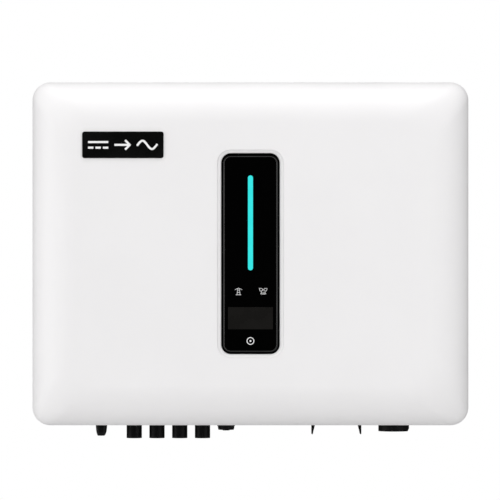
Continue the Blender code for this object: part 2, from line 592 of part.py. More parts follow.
# ---------------------------------------------------------------- vent plug, earth screw and cover screws
turned("vent_plug",
       [(0, 0.010), (0.0055, 0.010), (0.0055, -0.0003), (0.0085, -0.0003), (0.0085, -0.0060),
        (0.0070, -0.0085), (0, -0.0085)],
       (VENT_X, PORT_Y, FLOOR_Z), finish=BLACK_PLASTIC, parent=BODY)
turned("earth_screw",
       [(0, 0.0058), (0.0052, 0.0058), (0.0052, 0.0018), (0.0080, 0.0018), (0.0080, 0.0003),
        (0.0029, 0.0003), (0.0029, -0.010), (0, -0.010)],
       (HOUSING_WIDTH / 2, PORT_Y, EARTH_Z), (0, pi / 2, 0), ZINC_STEEL, BODY, 12)
FLANGE_BACK_Y = FLANGE_Y + 0.003
for number, (screw_x, screw_z) in enumerate(SCREW_PLACES, 1):
    turned(f"cover_screw_{number}",
           [(0, 0.0030), (0.0026, 0.0030), (0.0035, 0.0020), (0.0035, 0.0003), (0.0019, 0.0003),
            (0.0019, -0.0090), (0, -0.0090)],
           (screw_x, FLANGE_BACK_Y, screw_z), (-pi / 2, 0, 0), ZINC_STEEL, BODY, 12)

# ---------------------------------------------------------------- power electronics
BOARD_FRONT_Y = -0.095
ON_BOARD_Y = BOARD_FRONT_Y - GAP
BOARD_Z = 0.0325
box("power_board", (0.440, 0.002, 0.295), (0, BOARD_FRONT_Y + 0.001, BOARD_Z), BOARD_GREEN, BODY)


def on_board(name, size, x, z, finish, bevel=0.0):
    """A block standing on the power board; size is width, depth and height."""
    return box(name, size, (x, ON_BOARD_Y - size[1] / 2, z), finish, BODY, bevel)


box("igbt_module", (0.122, 0.012, 0.062), (0, SINK_FACE_Y - GAP - 0.006, 0.045), POTTED_GREY, BODY)
for number in range(CAPACITOR_COUNT):
    turned(f"dc_capacitor_{number + 1}",
           [(0, 0.048), (0.0155, 0.048), (0.0170, 0.0465), (0.0170, 0.0), (0, 0.0)],
           ((number - (CAPACITOR_COUNT - 1) / 2) * CAPACITOR_PITCH, ON_BOARD_Y, 0.095), (pi / 2, 0, 0),
           CAPACITOR_SLEEVE, BODY, 20)
on_board("boost_choke_1", (0.070, 0.048, 0.056), -0.162, 0.138, POTTED_GREY, 0.004)
on_board("boost_choke_2", (0.070, 0.048, 0.056), -0.162, 0.070, POTTED_GREY, 0.004)
on_board("ac_choke", (0.074, 0.048, 0.110), 0.160, 0.020, POTTED_GREY, 0.004)
on_board("relay_bank", (0.096, 0.027, 0.030), 0.150, -0.078, BLACK_PLASTIC, 0.002)

RELAY_LEAD_Z = -0.078 - 0.015 - GAP
tube("ac_lead",
     [Vector((AC_X, PORT_Y, FLOOR_Z + 0.014 + GAP)), Vector((AC_X, PORT_Y, -0.160)),
      Vector((AC_X - 0.004, PORT_Y + 0.001, -0.146)), Vector((AC_X - 0.012, PORT_Y + 0.002, -0.132)),
      Vector((AC_X - 0.020, PORT_Y + 0.003, -0.118)), Vector((AC_X - 0.023, PORT_Y + 0.003, -0.106)),
      Vector((AC_X - 0.023, PORT_Y + 0.003, RELAY_LEAD_Z))],
     0.0065, BLACK_RUBBER, BODY)

# ---------------------------------------------------------------- control board on its shield, ribbon cable
SHIELD_HALF = 0.100
SHIELD_SHEET = 0.0015
SHIELD_FRONT_Y = -0.1560
SHIELD_Z = 0.090
extrusion("control_shield",
          [[(-SHIELD_HALF, ON_BOARD_Y), (-SHIELD_HALF, SHIELD_FRONT_Y), (SHIELD_HALF, SHIELD_FRONT_Y),
            (SHIELD_HALF, ON_BOARD_Y), (SHIELD_HALF - SHIELD_SHEET, ON_BOARD_Y),
            (SHIELD_HALF - SHIELD_SHEET, SHIELD_FRONT_Y + SHIELD_SHEET),
            (-SHIELD_HALF + SHIELD_SHEET, SHIELD_FRONT_Y + SHIELD_SHEET),
            (-SHIELD_HALF + SHIELD_SHEET, ON_BOARD_Y)]],
          0.122, (0, 0, SHIELD_Z), "Z", ZINC_STEEL, BODY)
CONTROL_FRONT_Y = SHIELD_FRONT_Y - GAP - BOARD_THICKNESS
box("control_board", (0.190, BOARD_THICKNESS, 0.116), (0, CONTROL_FRONT_Y + BOARD_THICKNESS / 2, SHIELD_Z),
    BOARD_GREEN, BODY)


def ribbon_outline(start, end, thickness, steps=14):
    """The edge view of a flat cable that leaves one board square on and meets the other square on."""
    (y0, z0), (y1, z1) = start, end
    upper, lower = [], []
    for step in range(steps + 1):
        share = step / steps
        y = y0 + (y1 - y0) * share
        z = z0 + (z1 - z0) * (1 - cos(share * pi)) / 2
        slope = Vector((y1 - y0, (z1 - z0) * sin(share * pi) * pi / 2)).normalized()
        across = Vector((-slope.y, slope.x)) * thickness / 2
        upper.append((y + across.x, z + across.y))
        lower.append((y - across.x, z - across.y))
    return upper + list(reversed(lower))


extrusion("ribbon_cable", [ribbon_outline((-0.1985, 0.070), (CONTROL_FRONT_Y - GAP, 0.112), 0.001)], 0.024,
          (0, 0, 0), "X", SIGNAL_GREY, BODY)

# ---------------------------------------------------------------- internal fan
FAN_SIZE = 0.070
FAN_DEPTH = 0.020
FAN_BORE = 0.0325
FAN_CENTRE = (0.160, ON_BOARD_Y - FAN_SIZE / 2, 0.122)
fan_bore = [(FAN_BORE * cos(a / 24 * tau), FAN_BORE * sin(a / 24 * tau)) for a in range(24)]
fan_frame = extrusion("fan_frame", [rounded_rectangle(FAN_SIZE, FAN_SIZE, 0.0055, segments=3), fan_bore],
                      FAN_DEPTH, FAN_CENTRE, "Z", BLACK_PLASTIC, BODY)
STRUT_REACH = 0.0375
STRUT_HALF = 0.003
cross = []
for turn_count in range(4):
    corner = Matrix.Rotation(turn_count * pi / 2 + pi / 4, 2)
    for point in ((STRUT_REACH, -STRUT_HALF), (STRUT_REACH, STRUT_HALF), (STRUT_HALF, STRUT_HALF)):
        cross.append(tuple(corner @ Vector(point)))
strut_z = FAN_CENTRE[2] - FAN_DEPTH / 2 + 0.002
join(fan_frame, extrusion("fan_struts", [cross], 0.003, (FAN_CENTRE[0], FAN_CENTRE[1], strut_z), "Z", None,
                          BODY))
FAN_AXIS = empty("fan_axis", FAN_CENTRE, BODY)
HUB_PROFILE = [(0, 0.0085), (0.0130, 0.0085), (0.0145, 0.0070), (0.0145, -0.0060), (0, -0.0060)]
rotor = turned("fan_rotor", HUB_PROFILE, (0, 0, 0), finish=BLACK_PLASTIC, parent=FAN_AXIS, steps=24)
BLADE_COUNT = 7
BLADE_TWIST = 0.62
for number in range(BLADE_COUNT):
    turn = Matrix.Rotation(number / BLADE_COUNT * tau, 4, "Z")
    pitch = Matrix.Rotation(BLADE_TWIST, 4, "X")
    blade = box(f"fan_blade_{number + 1}", (0.0172, 0.015, 0.0014), (0, 0, 0), None, FAN_AXIS)
    blade.matrix_local = turn @ Matrix.Translation((0.0222, 0, 0.0012)) @ pitch
    join(rotor, blade)

# ---------------------------------------------------------------- shading
for part in PARTS.objects:
    if part.type == "MESH" and len(part.data.polygons):
        part.data.shade_smooth()
        part.data.set_sharp_from_angle(angle=0.7)
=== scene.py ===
# %% [markdown]
# # A string inverter, finished
#
# A string inverter hangs on a wall and turns the direct current of solar panels into grid power. Its working
# frame, with every joint, is already built. This notebook gives it its surfaces: a fine front cover, the black
# display, the switch and the port caps underneath, the finned back, and a finish for every piece. Nothing here
# moves or resizes the frame; new pieces take their places from it.

# %% Load the frame
from math import atan2, cos, pi, sin, tau

import bmesh
import bpy
from mathutils import Matrix, Vector


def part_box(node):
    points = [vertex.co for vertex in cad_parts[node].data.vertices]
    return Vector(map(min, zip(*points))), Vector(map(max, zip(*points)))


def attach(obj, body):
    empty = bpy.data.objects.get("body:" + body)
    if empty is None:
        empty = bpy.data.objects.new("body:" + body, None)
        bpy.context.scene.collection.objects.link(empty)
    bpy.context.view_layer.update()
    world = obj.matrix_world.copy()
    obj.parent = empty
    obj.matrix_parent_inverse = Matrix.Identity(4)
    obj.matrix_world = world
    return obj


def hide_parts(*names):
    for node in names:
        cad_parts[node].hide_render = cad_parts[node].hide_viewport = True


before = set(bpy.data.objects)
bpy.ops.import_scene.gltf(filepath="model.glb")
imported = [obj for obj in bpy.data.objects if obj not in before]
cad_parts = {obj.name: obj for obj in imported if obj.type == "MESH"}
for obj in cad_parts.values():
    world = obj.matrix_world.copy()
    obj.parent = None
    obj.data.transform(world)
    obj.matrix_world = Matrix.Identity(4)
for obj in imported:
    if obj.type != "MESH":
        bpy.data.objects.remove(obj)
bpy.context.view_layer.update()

# %% [markdown]
# ## Reading places from the frame
#
# Each solid of the frame sits at the origin with its place in its mesh, so its box tells where it is. A port is
# a stack of turned pieces on one upright axis, so the middle of any of them is the port's axis. The middle of the
# front cover is the reference for everything that is placed from the enclosure.

# %% Measures
MM = 0.001


def middle(node):
    low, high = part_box(node)
    return (low + high) / 2


def extent(node):
    low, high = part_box(node)
    return high - low


cover_low, cover_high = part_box("front_cover")
BODY = middle("front_cover")
COVER_WIDTH, COVER_DEPTH, COVER_HEIGHT = cover_high - cover_low
FACE_Y = cover_low.y
RIM_Y = cover_high.y
FLOOR_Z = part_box("dc_switch_plate")[1].z + 0.3 * MM     # underside of the housing
PORT_Y = middle("ac_cap").y
print(f"cover {COVER_WIDTH / MM:.0f} x {COVER_DEPTH / MM:.0f} x {COVER_HEIGHT / MM:.0f} mm")

# %% [markdown]
# ## Shared surface effects
#
# Some effects belong to more than one finish: the grain of a mould or a paint film, worn edges, dust that has
# settled, and drawn lines in extruded metal. Each is a node group with named sockets, built once. A group here only
# gives out masks and heights; the shader stays in each material, where its other values are easy to read.

# %% Building a node group
def new_group(name, numbers, outputs):
    """Makes a group with float inputs {name: default} and float outputs.

    Gives its tree, the sockets of its inputs and outputs, and the place on the object."""
    tree = bpy.data.node_groups.new(name, "ShaderNodeTree")
    for label, default in numbers.items():
        socket = tree.interface.new_socket(label, in_out="INPUT", socket_type="NodeSocketFloat")
        socket.default_value = default
    for label in outputs:
        tree.interface.new_socket(label, in_out="OUTPUT", socket_type="NodeSocketFloat")
    where = tree.nodes.new("ShaderNodeTexCoord").outputs["Object"]
    return tree, tree.nodes.new("NodeGroupInput").outputs, tree.nodes.new("NodeGroupOutput").inputs, where


def node(tree, kind, settings=(), **inputs):
    """A node with its settings, and its inputs set to values or linked to sockets."""
    made = tree.nodes.new(kind)
    for label, value in dict(settings).items():
        setattr(made, label, value)
    for label, value in inputs.items():
        socket = made.inputs[int(label[1:])] if label[0] == "_" and label[1:].isdigit() else \
            made.inputs[label.replace("_", " ")]
        if isinstance(value, bpy.types.NodeSocket):
            tree.links.new(value, socket)
        else:
            socket.default_value = value
    return made


def maths(tree, operation, first, second=0.0, clamp=False):
    made = node(tree, "ShaderNodeMath", {"operation": operation, "use_clamp": clamp}, _0=first, _1=second)
    return made.outputs[0]


def ramp(tree, value, low, high, to_low=0.0, to_high=1.0):
    """Spreads low..high over to_low..to_high, with smooth ends."""
    made = node(tree, "ShaderNodeMapRange", {"interpolation_type": "SMOOTHSTEP"}, Value=value)
    made.inputs["From Min"].default_value = low
    made.inputs["From Max"].default_value = high
    made.inputs["To Min"].default_value = to_low
    made.inputs["To Max"].default_value = to_high
    return made.outputs[0]


# %% Grain: the fine skin of a mould or a paint film
grain, given, gives, where = new_group("surface_grain", {"Scale": 900.0, "Mottle Scale": 14.0}, ["Height", "Mottle"])
fine = node(grain, "ShaderNodeTexNoise", Vector=where, Scale=given["Scale"], Detail=3.0, Roughness=0.6)
broad = node(grain, "ShaderNodeTexNoise", Vector=where, Scale=given["Mottle Scale"], Detail=4.0)
grain.links.new(fine.outputs[0], gives["Height"])
grain.links.new(ramp(grain, broad.outputs[0], 0.35, 0.65), gives["Mottle"])

# %% Edge wear: convex edges, broken up by noise
wear, given, gives, where = new_group("edge_wear", {"Amount": 0.5, "Scale": 60.0}, ["Mask"])
patches = node(wear, "ShaderNodeTexNoise", Vector=where, Scale=given["Scale"], Detail=5.0)
convex = ramp(wear, node(wear, "ShaderNodeNewGeometry").outputs["Pointiness"], 0.53, 0.62)
broken = maths(wear, "MULTIPLY", convex, ramp(wear, patches.outputs[0], 0.42, 0.62))
wear.links.new(maths(wear, "MULTIPLY", broken, given["Amount"], clamp=True), gives["Mask"])

# %% Dust: settles where the surface faces up
dust, given, gives, where = new_group("settled_dust", {"Amount": 0.3, "Scale": 35.0}, ["Mask"])
specks = node(dust, "ShaderNodeTexNoise", Vector=where, Scale=given["Scale"], Detail=6.0)
upward = node(dust, "ShaderNodeSeparateXYZ", Vector=node(dust, "ShaderNodeNewGeometry").outputs["Normal"])
lying = ramp(dust, upward.outputs["Z"], 0.25, 1.0)
settled = maths(dust, "MULTIPLY", lying, ramp(dust, specks.outputs[0], 0.35, 0.7))
dust.links.new(maths(dust, "MULTIPLY", settled, given["Amount"], clamp=True), gives["Mask"])

# %% Drawn lines: what a die or a rolling mill leaves along the metal
drawn, given, gives, where = new_group("drawn_lines", {"Across": 1400.0, "Along": 12.0}, ["Height", "Streak"])
stretch = node(drawn, "ShaderNodeCombineXYZ", X=given["Across"], Y=given["Across"], Z=given["Along"])
stretched = node(drawn, "ShaderNodeVectorMath", {"operation": "MULTIPLY"}, _0=where, _1=stretch.outputs[0])
lines = node(drawn, "ShaderNodeTexNoise", Vector=stretched.outputs[0], Scale=1.0, Detail=2.0)
drawn.links.new(lines.outputs[0], gives["Height"])
drawn.links.new(ramp(drawn, lines.outputs[0], 0.3, 0.7), gives["Streak"])

# %% Spangle: the crystals of a zinc coating
spangle, given, gives, where = new_group("zinc_spangle", {"Scale": 170.0}, ["Crystal"])
bend = node(spangle, "ShaderNodeTexNoise", Vector=where, Scale=90.0, Detail=2.0)
nudged = node(spangle, "ShaderNodeVectorMath", {"operation": "MULTIPLY_ADD"}, _0=bend.outputs["Color"],
              _1=(0.006, 0.006, 0.006), _2=where)
cells = node(spangle, "ShaderNodeTexVoronoi", Vector=nudged.outputs[0], Scale=given["Scale"])
shade = node(spangle, "ShaderNodeSeparateColor", Color=cells.outputs["Color"])
spangle.links.new(shade.outputs["Red"], gives["Crystal"])
print("node groups:", ", ".join(g.name for g in bpy.data.node_groups))

# %% [markdown]
# ## Finishes
#
# Every finish starts from one Principled shader. `finish` sets its plain values, then ties in the grain: the mottle
# shifts the colour and the roughness a little, and the height goes to a Bump node. Wear and dust are mixed over the
# colour where a finish asks for them. Values that are the same all over stay on the shader itself.

# %% The common recipe
def shade_of(colour, factor):
    return (*[min(1.0, channel * factor) for channel in colour], 1.0)


def mix(tree, factor, first, second):
    """Blends two colours by a factor, all of them values or sockets."""
    made = tree.nodes.new("ShaderNodeMix")
    made.data_type = "RGBA"
    for socket, value in ((made.inputs[0], factor), (made.inputs[6], first), (made.inputs[7], second)):
        if isinstance(value, bpy.types.NodeSocket):
            tree.links.new(value, socket)
        else:
            socket.default_value = value
    return made.outputs[2]


def grouped(tree, group, **values):
    """A shared group placed in a material with its own values."""
    made = tree.nodes.new("ShaderNodeGroup")
    made.node_tree = group
    for label, value in values.items():
        made.inputs[label.replace("_", " ")].default_value = value
    return made


def finish(name, colour, roughness, metallic=0.0, specular=0.5, coat=0.0, grain_scale=900.0, bump=0.05,
           bump_depth=0.0001, mottle=0.04, mottle_scale=14.0, roughness_swing=0.05, worn=None, wear_amount=0.0,
           dust_amount=0.0, coat_roughness=0.1):
    """A finish with grain, mottle and, if asked for, worn edges and settled dust."""
    made = bpy.data.materials.new(name)
    made.use_nodes = True
    tree = made.node_tree
    shader = tree.nodes["Principled BSDF"]
    shader.inputs["Metallic"].default_value = metallic
    shader.inputs["Specular IOR Level"].default_value = specular
    shader.inputs["Coat Weight"].default_value = coat
    shader.inputs["Coat Roughness"].default_value = coat_roughness
    skin = grouped(tree, grain, Scale=grain_scale, Mottle_Scale=mottle_scale)
    surface = mix(tree, skin.outputs["Mottle"], shade_of(colour, 1 - mottle), shade_of(colour, 1 + mottle))
    if wear_amount:
        edges = grouped(tree, wear, Amount=wear_amount)
        surface = mix(tree, edges.outputs["Mask"], surface, (*worn, 1.0))
    if dust_amount:
        film = grouped(tree, dust, Amount=dust_amount)
        surface = mix(tree, film.outputs["Mask"], surface, (0.35, 0.34, 0.32, 1.0))
    tree.links.new(surface, shader.inputs["Base Color"])
    rough = ramp(tree, skin.outputs["Mottle"], 0.0, 1.0, roughness - roughness_swing, roughness + roughness_swing)
    tree.links.new(rough, shader.inputs["Roughness"])
    relief = node(tree, "ShaderNodeBump", Height=skin.outputs["Height"], Strength=bump, Distance=bump_depth)
    tree.links.new(relief.outputs["Normal"], shader.inputs["Normal"])
    return made


def lined(made, across, along, strength=0.12, tone=0.08):
    """Adds drawn lines to a metal finish: they tint it and replace its bump."""
    tree = made.node_tree
    shader = tree.nodes["Principled BSDF"]
    stripes = grouped(tree, drawn, Across=across, Along=along)
    base = shader.inputs["Base Color"].links[0].from_socket
    darker = mix(tree, tone, base, (0.2, 0.2, 0.2, 1.0))
    tree.links.new(mix(tree, stripes.outputs["Streak"], darker, base), shader.inputs["Base Color"])
    relief = node(tree, "ShaderNodeBump", Height=stripes.outputs["Height"], Strength=strength, Distance=0.0002)
    tree.links.new(relief.outputs["Normal"], shader.inputs["Normal"])
    return made


def spangled(made, scale):
    """Adds zinc crystals to a metal finish."""
    tree = made.node_tree
    shader = tree.nodes["Principled BSDF"]
    crystals = grouped(tree, spangle, Scale=scale)
    base = shader.inputs["Base Color"].links[0].from_socket
    tint = ramp(tree, crystals.outputs["Crystal"], 0.0, 1.0, 0.0, 0.35)
    tree.links.new(mix(tree, tint, base, (0.42, 0.44, 0.47, 1.0)), shader.inputs["Base Color"])
    rough = ramp(tree, crystals.outputs["Crystal"], 0.0, 1.0, 0.32, 0.5)
    tree.links.new(rough, shader.inputs["Roughness"])
    return made


# %% [markdown]
# The cover and the housing are powder coated: a nearly white film with a very fine orange-peel skin and a broad,
# soft gloss. The plastics under it are black, moulded with a fine spark texture, so they catch only dull
# highlights. The dust caps are softer rubber, and the display's panel is polished.

# %% Paint, plastics and rubber
POWDER_WHITE = finish("powder_white", (0.845, 0.835, 0.84), 0.46, specular=0.35, grain_scale=1100, bump=0.05,
                      bump_depth=0.00008, mottle=0.006, mottle_scale=9, roughness_swing=0.03)
HOUSING_WHITE = finish("housing_white", (0.80, 0.79, 0.79), 0.5, specular=0.35, grain_scale=700, bump=0.12,
                       mottle=0.012, mottle_scale=12, dust_amount=0.12)
MOULDED_BLACK = finish("moulded_black", (0.0022, 0.0022, 0.0023), 0.42, specular=0.12, grain_scale=1500, bump=0.2,
                       mottle=0.12, worn=(0.03, 0.03, 0.031), wear_amount=0.35)
SWITCH_BLACK = finish("switch_black", (0.0024, 0.0024, 0.0025), 0.34, specular=0.16, grain_scale=1900, bump=0.12,
                      mottle=0.1, worn=(0.035, 0.035, 0.036), wear_amount=0.5)
CAP_RUBBER = finish("cap_rubber", (0.0018, 0.0018, 0.0019), 0.4, specular=0.12, grain_scale=1200, bump=0.15,
                    mottle=0.15)
SEAL_RUBBER = finish("seal_rubber", (0.016, 0.016, 0.017), 0.78, specular=0.3, grain_scale=800, bump=0.25,
                     mottle=0.2, dust_amount=0.3)
BEZEL_BLACK = finish("bezel_black", (0.0004, 0.0004, 0.0004), 0.4, specular=0.03, grain_scale=1600, bump=0.06,
                     mottle=0.1)
# The grey of the thin ring round the display panel is a painted highlight, for the light on the panel's bevelled
# edge.
PAINTED_HIGHLIGHT_GREY = finish("painted_highlight_grey", (0.042, 0.042, 0.042), 0.5, specular=0.1, grain_scale=1400, bump=0.05,
                   mottle=0.12, mottle_scale=40)
BADGE_BLACK = finish("badge_black", (0.0015, 0.0015, 0.0015), 0.22, specular=0.4, grain_scale=1300, bump=0.05,
                     mottle=0.15, worn=(0.14, 0.14, 0.13), wear_amount=0.2)
PRINT_WHITE = finish("print_white", (0.86, 0.86, 0.86), 0.5, specular=0.2, grain_scale=2400, bump=0.08,
                     mottle=0.03, mottle_scale=60)
PRINT_GREY = finish("print_grey", (0.68, 0.68, 0.68), 0.5, specular=0.1, grain_scale=2400, bump=0.08,
                    mottle=0.08, mottle_scale=90)

# %% [markdown]
# The display is one dark plane with three depths of black: a polished panel, a screen that is a shade warmer, and
# a light guide. The guide glows by itself, because in use it is lit from behind. A lamp behind a clear bar would
# do the same, but would take longer to render.

# %% Panel, screen and light
PANEL_GLASS = finish("panel_glass", (0.0002, 0.0002, 0.0002), 0.06, specular=0.12, grain_scale=300, bump=0.006,
                     mottle=0.3, mottle_scale=6, roughness_swing=0.02)
SCREEN_DARK = finish("screen_dark", (0.0088, 0.0083, 0.0076), 0.3, specular=0.05, grain_scale=2600, bump=0.03,
                     mottle=0.06, mottle_scale=35)


def lit(name, colour, strength, deeper):
    """A light guide: it glows, a touch deeper in colour towards its mottled patches."""
    made = finish(name, (0.002, 0.008, 0.008), 0.35, specular=0.1, mottle=0.2)
    tree = made.node_tree
    shader = tree.nodes["Principled BSDF"]
    skin = grouped(tree, grain, Scale=1200, Mottle_Scale=55)
    glow = mix(tree, skin.outputs["Mottle"], (*deeper, 1.0), (*colour, 1.0))
    tree.links.new(glow, shader.inputs["Emission Color"])
    shader.inputs["Emission Strength"].default_value = strength
    return made


CYAN_GLOW = lit("cyan_glow", (0.040, 0.815, 0.800), 1.0, (0.034, 0.785, 0.770))

# %% [markdown]
# Metals: the heat sink is bare extruded aluminium with fine lines along its fins, the bracket and hanger are zinc
# plated sheet with a crystal pattern, and the screws are bright plated steel.

# %% Metals
SINK_ALUMINIUM = lined(finish("sink_aluminium", (0.66, 0.67, 0.68), 0.42, metallic=0.6, mottle=0.05,
                              mottle_scale=25, dust_amount=0.2), 1500, 10)
ZINC_SHEET = spangled(finish("zinc_sheet", (0.60, 0.61, 0.62), 0.4, metallic=0.7, grain_scale=500, bump=0.08,
                             mottle=0.06, worn=(0.75, 0.75, 0.76), wear_amount=0.4), 190)
SCREW_STEEL = finish("screw_steel", (0.58, 0.58, 0.57), 0.28, metallic=1.0, grain_scale=1800, bump=0.08,
                     mottle=0.08, mottle_scale=220, worn=(0.8, 0.8, 0.8), wear_amount=0.5)
CONTACT_METAL = finish("contact_metal", (0.72, 0.70, 0.66), 0.25, metallic=1.0, grain_scale=2000, bump=0.05,
                       mottle=0.08, mottle_scale=300)

# %% [markdown]
# Inside the sealed housing sit boards, chokes and capacitors that nobody sees. They still get a finish of their
# own, because the part can be taken apart.

# %% Finishes of the inner pieces
BOARD_GREEN = finish("board_green", (0.018, 0.13, 0.05), 0.38, coat=0.4, grain_scale=900, bump=0.2, mottle=0.25,
                     mottle_scale=120)
CHOKE_GREY = finish("choke_grey", (0.10, 0.10, 0.11), 0.55, grain_scale=500, bump=0.35, mottle=0.2,
                    worn=(0.25, 0.25, 0.26), wear_amount=0.4)
POTTING = finish("potting", (0.05, 0.05, 0.055), 0.6, grain_scale=350, bump=0.2, mottle=0.2)
SLEEVE_BLUE = finish("sleeve_blue", (0.02, 0.03, 0.09), 0.35, coat=0.2, grain_scale=700, bump=0.06, mottle=0.12)
RELAY_BLACK = finish("relay_black", (0.02, 0.02, 0.021), 0.4, grain_scale=1400, bump=0.15, mottle=0.1)
RIBBON_GREY = lined(finish("ribbon_grey", (0.42, 0.42, 0.43), 0.55, mottle=0.05), 2400, 5, 0.3, 0.3)
WIRE_RED = finish("wire_red", (0.42, 0.02, 0.018), 0.4, grain_scale=600, bump=0.06, mottle=0.12)
WIRE_BLACK = finish("wire_black", (0.012, 0.012, 0.012), 0.4, grain_scale=600, bump=0.06, mottle=0.15)
print(len(bpy.data.materials), "materials")

# %% [markdown]
# ## Placing a piece
#
# Every piece needs a place, a finish and a body of the frame to ride on. One function does all three, so no piece
# is left hanging in the air when a joint moves. Smooth shading, with the edges over a set angle kept sharp, makes
# round faces round and leaves flat ones flat.


def placed(name, data, at=(0, 0, 0), turn=(0, 0, 0)):
    """An object in the scene, at a place and with a turn."""
    made = bpy.data.objects.new(name, data)
    made.location = at
    made.rotation_euler = turn
    bpy.context.scene.collection.objects.link(made)
    return made


def add(name, mesh, body, material, at=(0, 0, 0), turn=(0, 0, 0), instead_of=(), crease=0.6):
    """Places a piece, gives it its finish and lets it ride on a body of the frame."""
    piece = placed(name, mesh, at, turn)
    mesh.materials.clear()
    mesh.materials.append(material)
    mesh.shade_smooth()
    mesh.set_sharp_from_angle(angle=crease)
    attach(piece, body)
    if instead_of:
        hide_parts(*instead_of)
    size = ", ".join(f"{side / MM:.1f}" for side in piece.dimensions)
    print(f"  {name}: {len(mesh.polygons)} faces, {size} mm")
    return piece


# %% [markdown]
# ## The front cover
#
# One pressed and moulded shell: a flat face, a soft edge like a quarter of a tube all round, a straight skirt, and
# a shallow dish in the middle for the display. It could be a box with a Bevel, but the corners matter here: seen
# from the front the outline's corners are tight, while the face's are wider, so the roll has to blend from one to
# the other. A loft does that. Its sections go from the rim round the front, down into the display's dish, through
# the window, and back along the inside to the rim, so the shell closes on itself with its real thickness.
#
# A *loft* joins outlines of equal point count by rows of four-sided faces, which shade smoothly. So every outline
# of the shell is a rounded rectangle with as many points as the next one.

# %% Outlines and lofts
def rounded_outline(width, height, radius, centre=(0.0, 0.0), segments=8):
    """Points of a rounded rectangle, anticlockwise."""
    points = []
    for quarter, (sx, sy) in enumerate([(1, 1), (-1, 1), (-1, -1), (1, -1)]):
        cx = centre[0] + sx * (width / 2 - radius)
        cy = centre[1] + sy * (height / 2 - radius)
        for step in range(segments + 1):
            angle = (quarter + step / segments) * pi / 2
            points.append((cx + radius * cos(angle), cy + radius * sin(angle)))
    return points


def mesh_from(shape, name):
    bmesh.ops.recalc_face_normals(shape, faces=shape.faces)
    mesh = bpy.data.meshes.new(name)
    shape.to_mesh(mesh)
    shape.free()
    return mesh


def loft(sections, name, ring=False):
    """Skin over 3D sections. A ring joins the last section to the first; otherwise both ends are capped."""
    shape = bmesh.new()
    rows = [[shape.verts.new(point) for point in section] for section in sections]
    count = len(rows[0])
    pairs = list(zip(rows, rows[1:]))
    if ring:
        pairs.append((rows[-1], rows[0]))
    for row, following in pairs:
        for i in range(count):
            j = (i + 1) % count
            shape.faces.new((row[i], row[j], following[j], following[i]))
    if not ring:
        shape.faces.new(rows[-1])
        shape.faces.new(list(reversed(rows[0])))
    return mesh_from(shape, name)


# %% Sections of the cover
ROLL = 50 * MM
WALL = 3.5 * MM
CORNER = 22 * MM            # corner radius of the outline
FACE_CORNER = 36 * MM       # corner radius where the face turns flat
RIM_EDGE = 0.7 * MM
OUTER_STEPS, INNER_STEPS = 28, 8
CORNER_SEGMENTS = 18


def section(width, height, radius, y):
    outline = rounded_outline(width, height, radius, (BODY.x, BODY.z), CORNER_SEGMENTS)
    return [(x, y, z) for x, z in outline]


def cover_section(inset, y):
    """The outline where the soft edge has turned in by inset."""
    radius = CORNER + (FACE_CORNER - CORNER) * inset / ROLL
    return section(COVER_WIDTH - 2 * inset, COVER_HEIGHT - 2 * inset, radius, y)


roll_start = FACE_Y + ROLL
outer = [cover_section(RIM_EDGE, RIM_Y), cover_section(RIM_EDGE * 0.3, RIM_Y - RIM_EDGE * 0.3),
         cover_section(0, RIM_Y - RIM_EDGE)]
for step in range(OUTER_STEPS + 1):
    angle = step / OUTER_STEPS * pi / 2
    outer.append(cover_section(ROLL * (1 - cos(angle)), roll_start - ROLL * sin(angle)))
print(f"{len(outer)} sections from the rim to the flat of the face")

# %% [markdown]
# The dish is concave: steep at its mouth and nearly flat where it meets the display, so its four sides take four
# different shades. A hairline groove runs round the mouth and gives it a crisp outline.

# %% The dish, the window and the inside
frame_size = extent("display_frame")
DISH = (80.2 * MM, 252.1 * MM, 16.3 * MM)                # mouth: width, height and corner radius
BEZEL = (frame_size.x + 0.2 * MM, frame_size.z + 0.7 * MM, 11.8 * MM)
RAISE = 0.3 * MM                                          # dish and bezel sit a hair above the middle
DISH_STEEP, DISH_GENTLE = 0.90, 0.06                      # slopes at the mouth and at the display, in radians
DISH_STEPS = 8
GROOVE_WIDTH, GROOVE_DEPTH = 0.42 * MM, 0.6 * MM
FOOT_GAP = 0.04 * MM
DISH_FLOOR_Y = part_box("display_frame")[1].y + 0.3 * MM
WINDOW = (58 * MM, 232 * MM, 8 * MM)
PAD_BACK_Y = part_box("light_guide")[1].y - 0.4 * MM
INSIDE_Y = FACE_Y + WALL
RIB_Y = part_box("cover_gasket")[0].y - 0.3 * MM
PAD = (92 * MM, 266 * MM, 18 * MM)                        # the thick part round the display, seen from inside
RIB = (498 * MM, 384 * MM, 10 * MM)                       # a rib just in front of the gasket
RIB_WIDTH = 2.5 * MM


def grown(shape, by, y, up=0.0):
    points = section(shape[0] + 2 * by, shape[1] + 2 * by, max(0.5 * MM, shape[2] + by), y)
    return [(x, depth, z + up) for x, depth, z in points]


dish_reach = (DISH[0] - BEZEL[0]) / 2 - FOOT_GAP
bow = dish_reach / (sin(DISH_STEEP) - sin(DISH_GENTLE))
dish = [grown(DISH, GROOVE_WIDTH + 0.08 * MM, FACE_Y, RAISE),
        grown(DISH, GROOVE_WIDTH, FACE_Y + 0.08 * MM, RAISE),
        grown(DISH, GROOVE_WIDTH, FACE_Y + GROOVE_DEPTH, RAISE),
        grown(DISH, 0.03 * MM, FACE_Y + GROOVE_DEPTH, RAISE)]
for step in range(DISH_STEPS + 1):
    slope = DISH_STEEP + (DISH_GENTLE - DISH_STEEP) * step / DISH_STEPS
    inset = bow * (sin(DISH_STEEP) - sin(slope))
    dish.append(grown(DISH, -inset, FACE_Y + bow * (cos(slope) - cos(DISH_STEEP)), RAISE))
print(f"dish: {dish_reach / MM:.1f} mm wide, {(dish[-1][0][1] - FACE_Y) / MM:.1f} mm deep at the display")
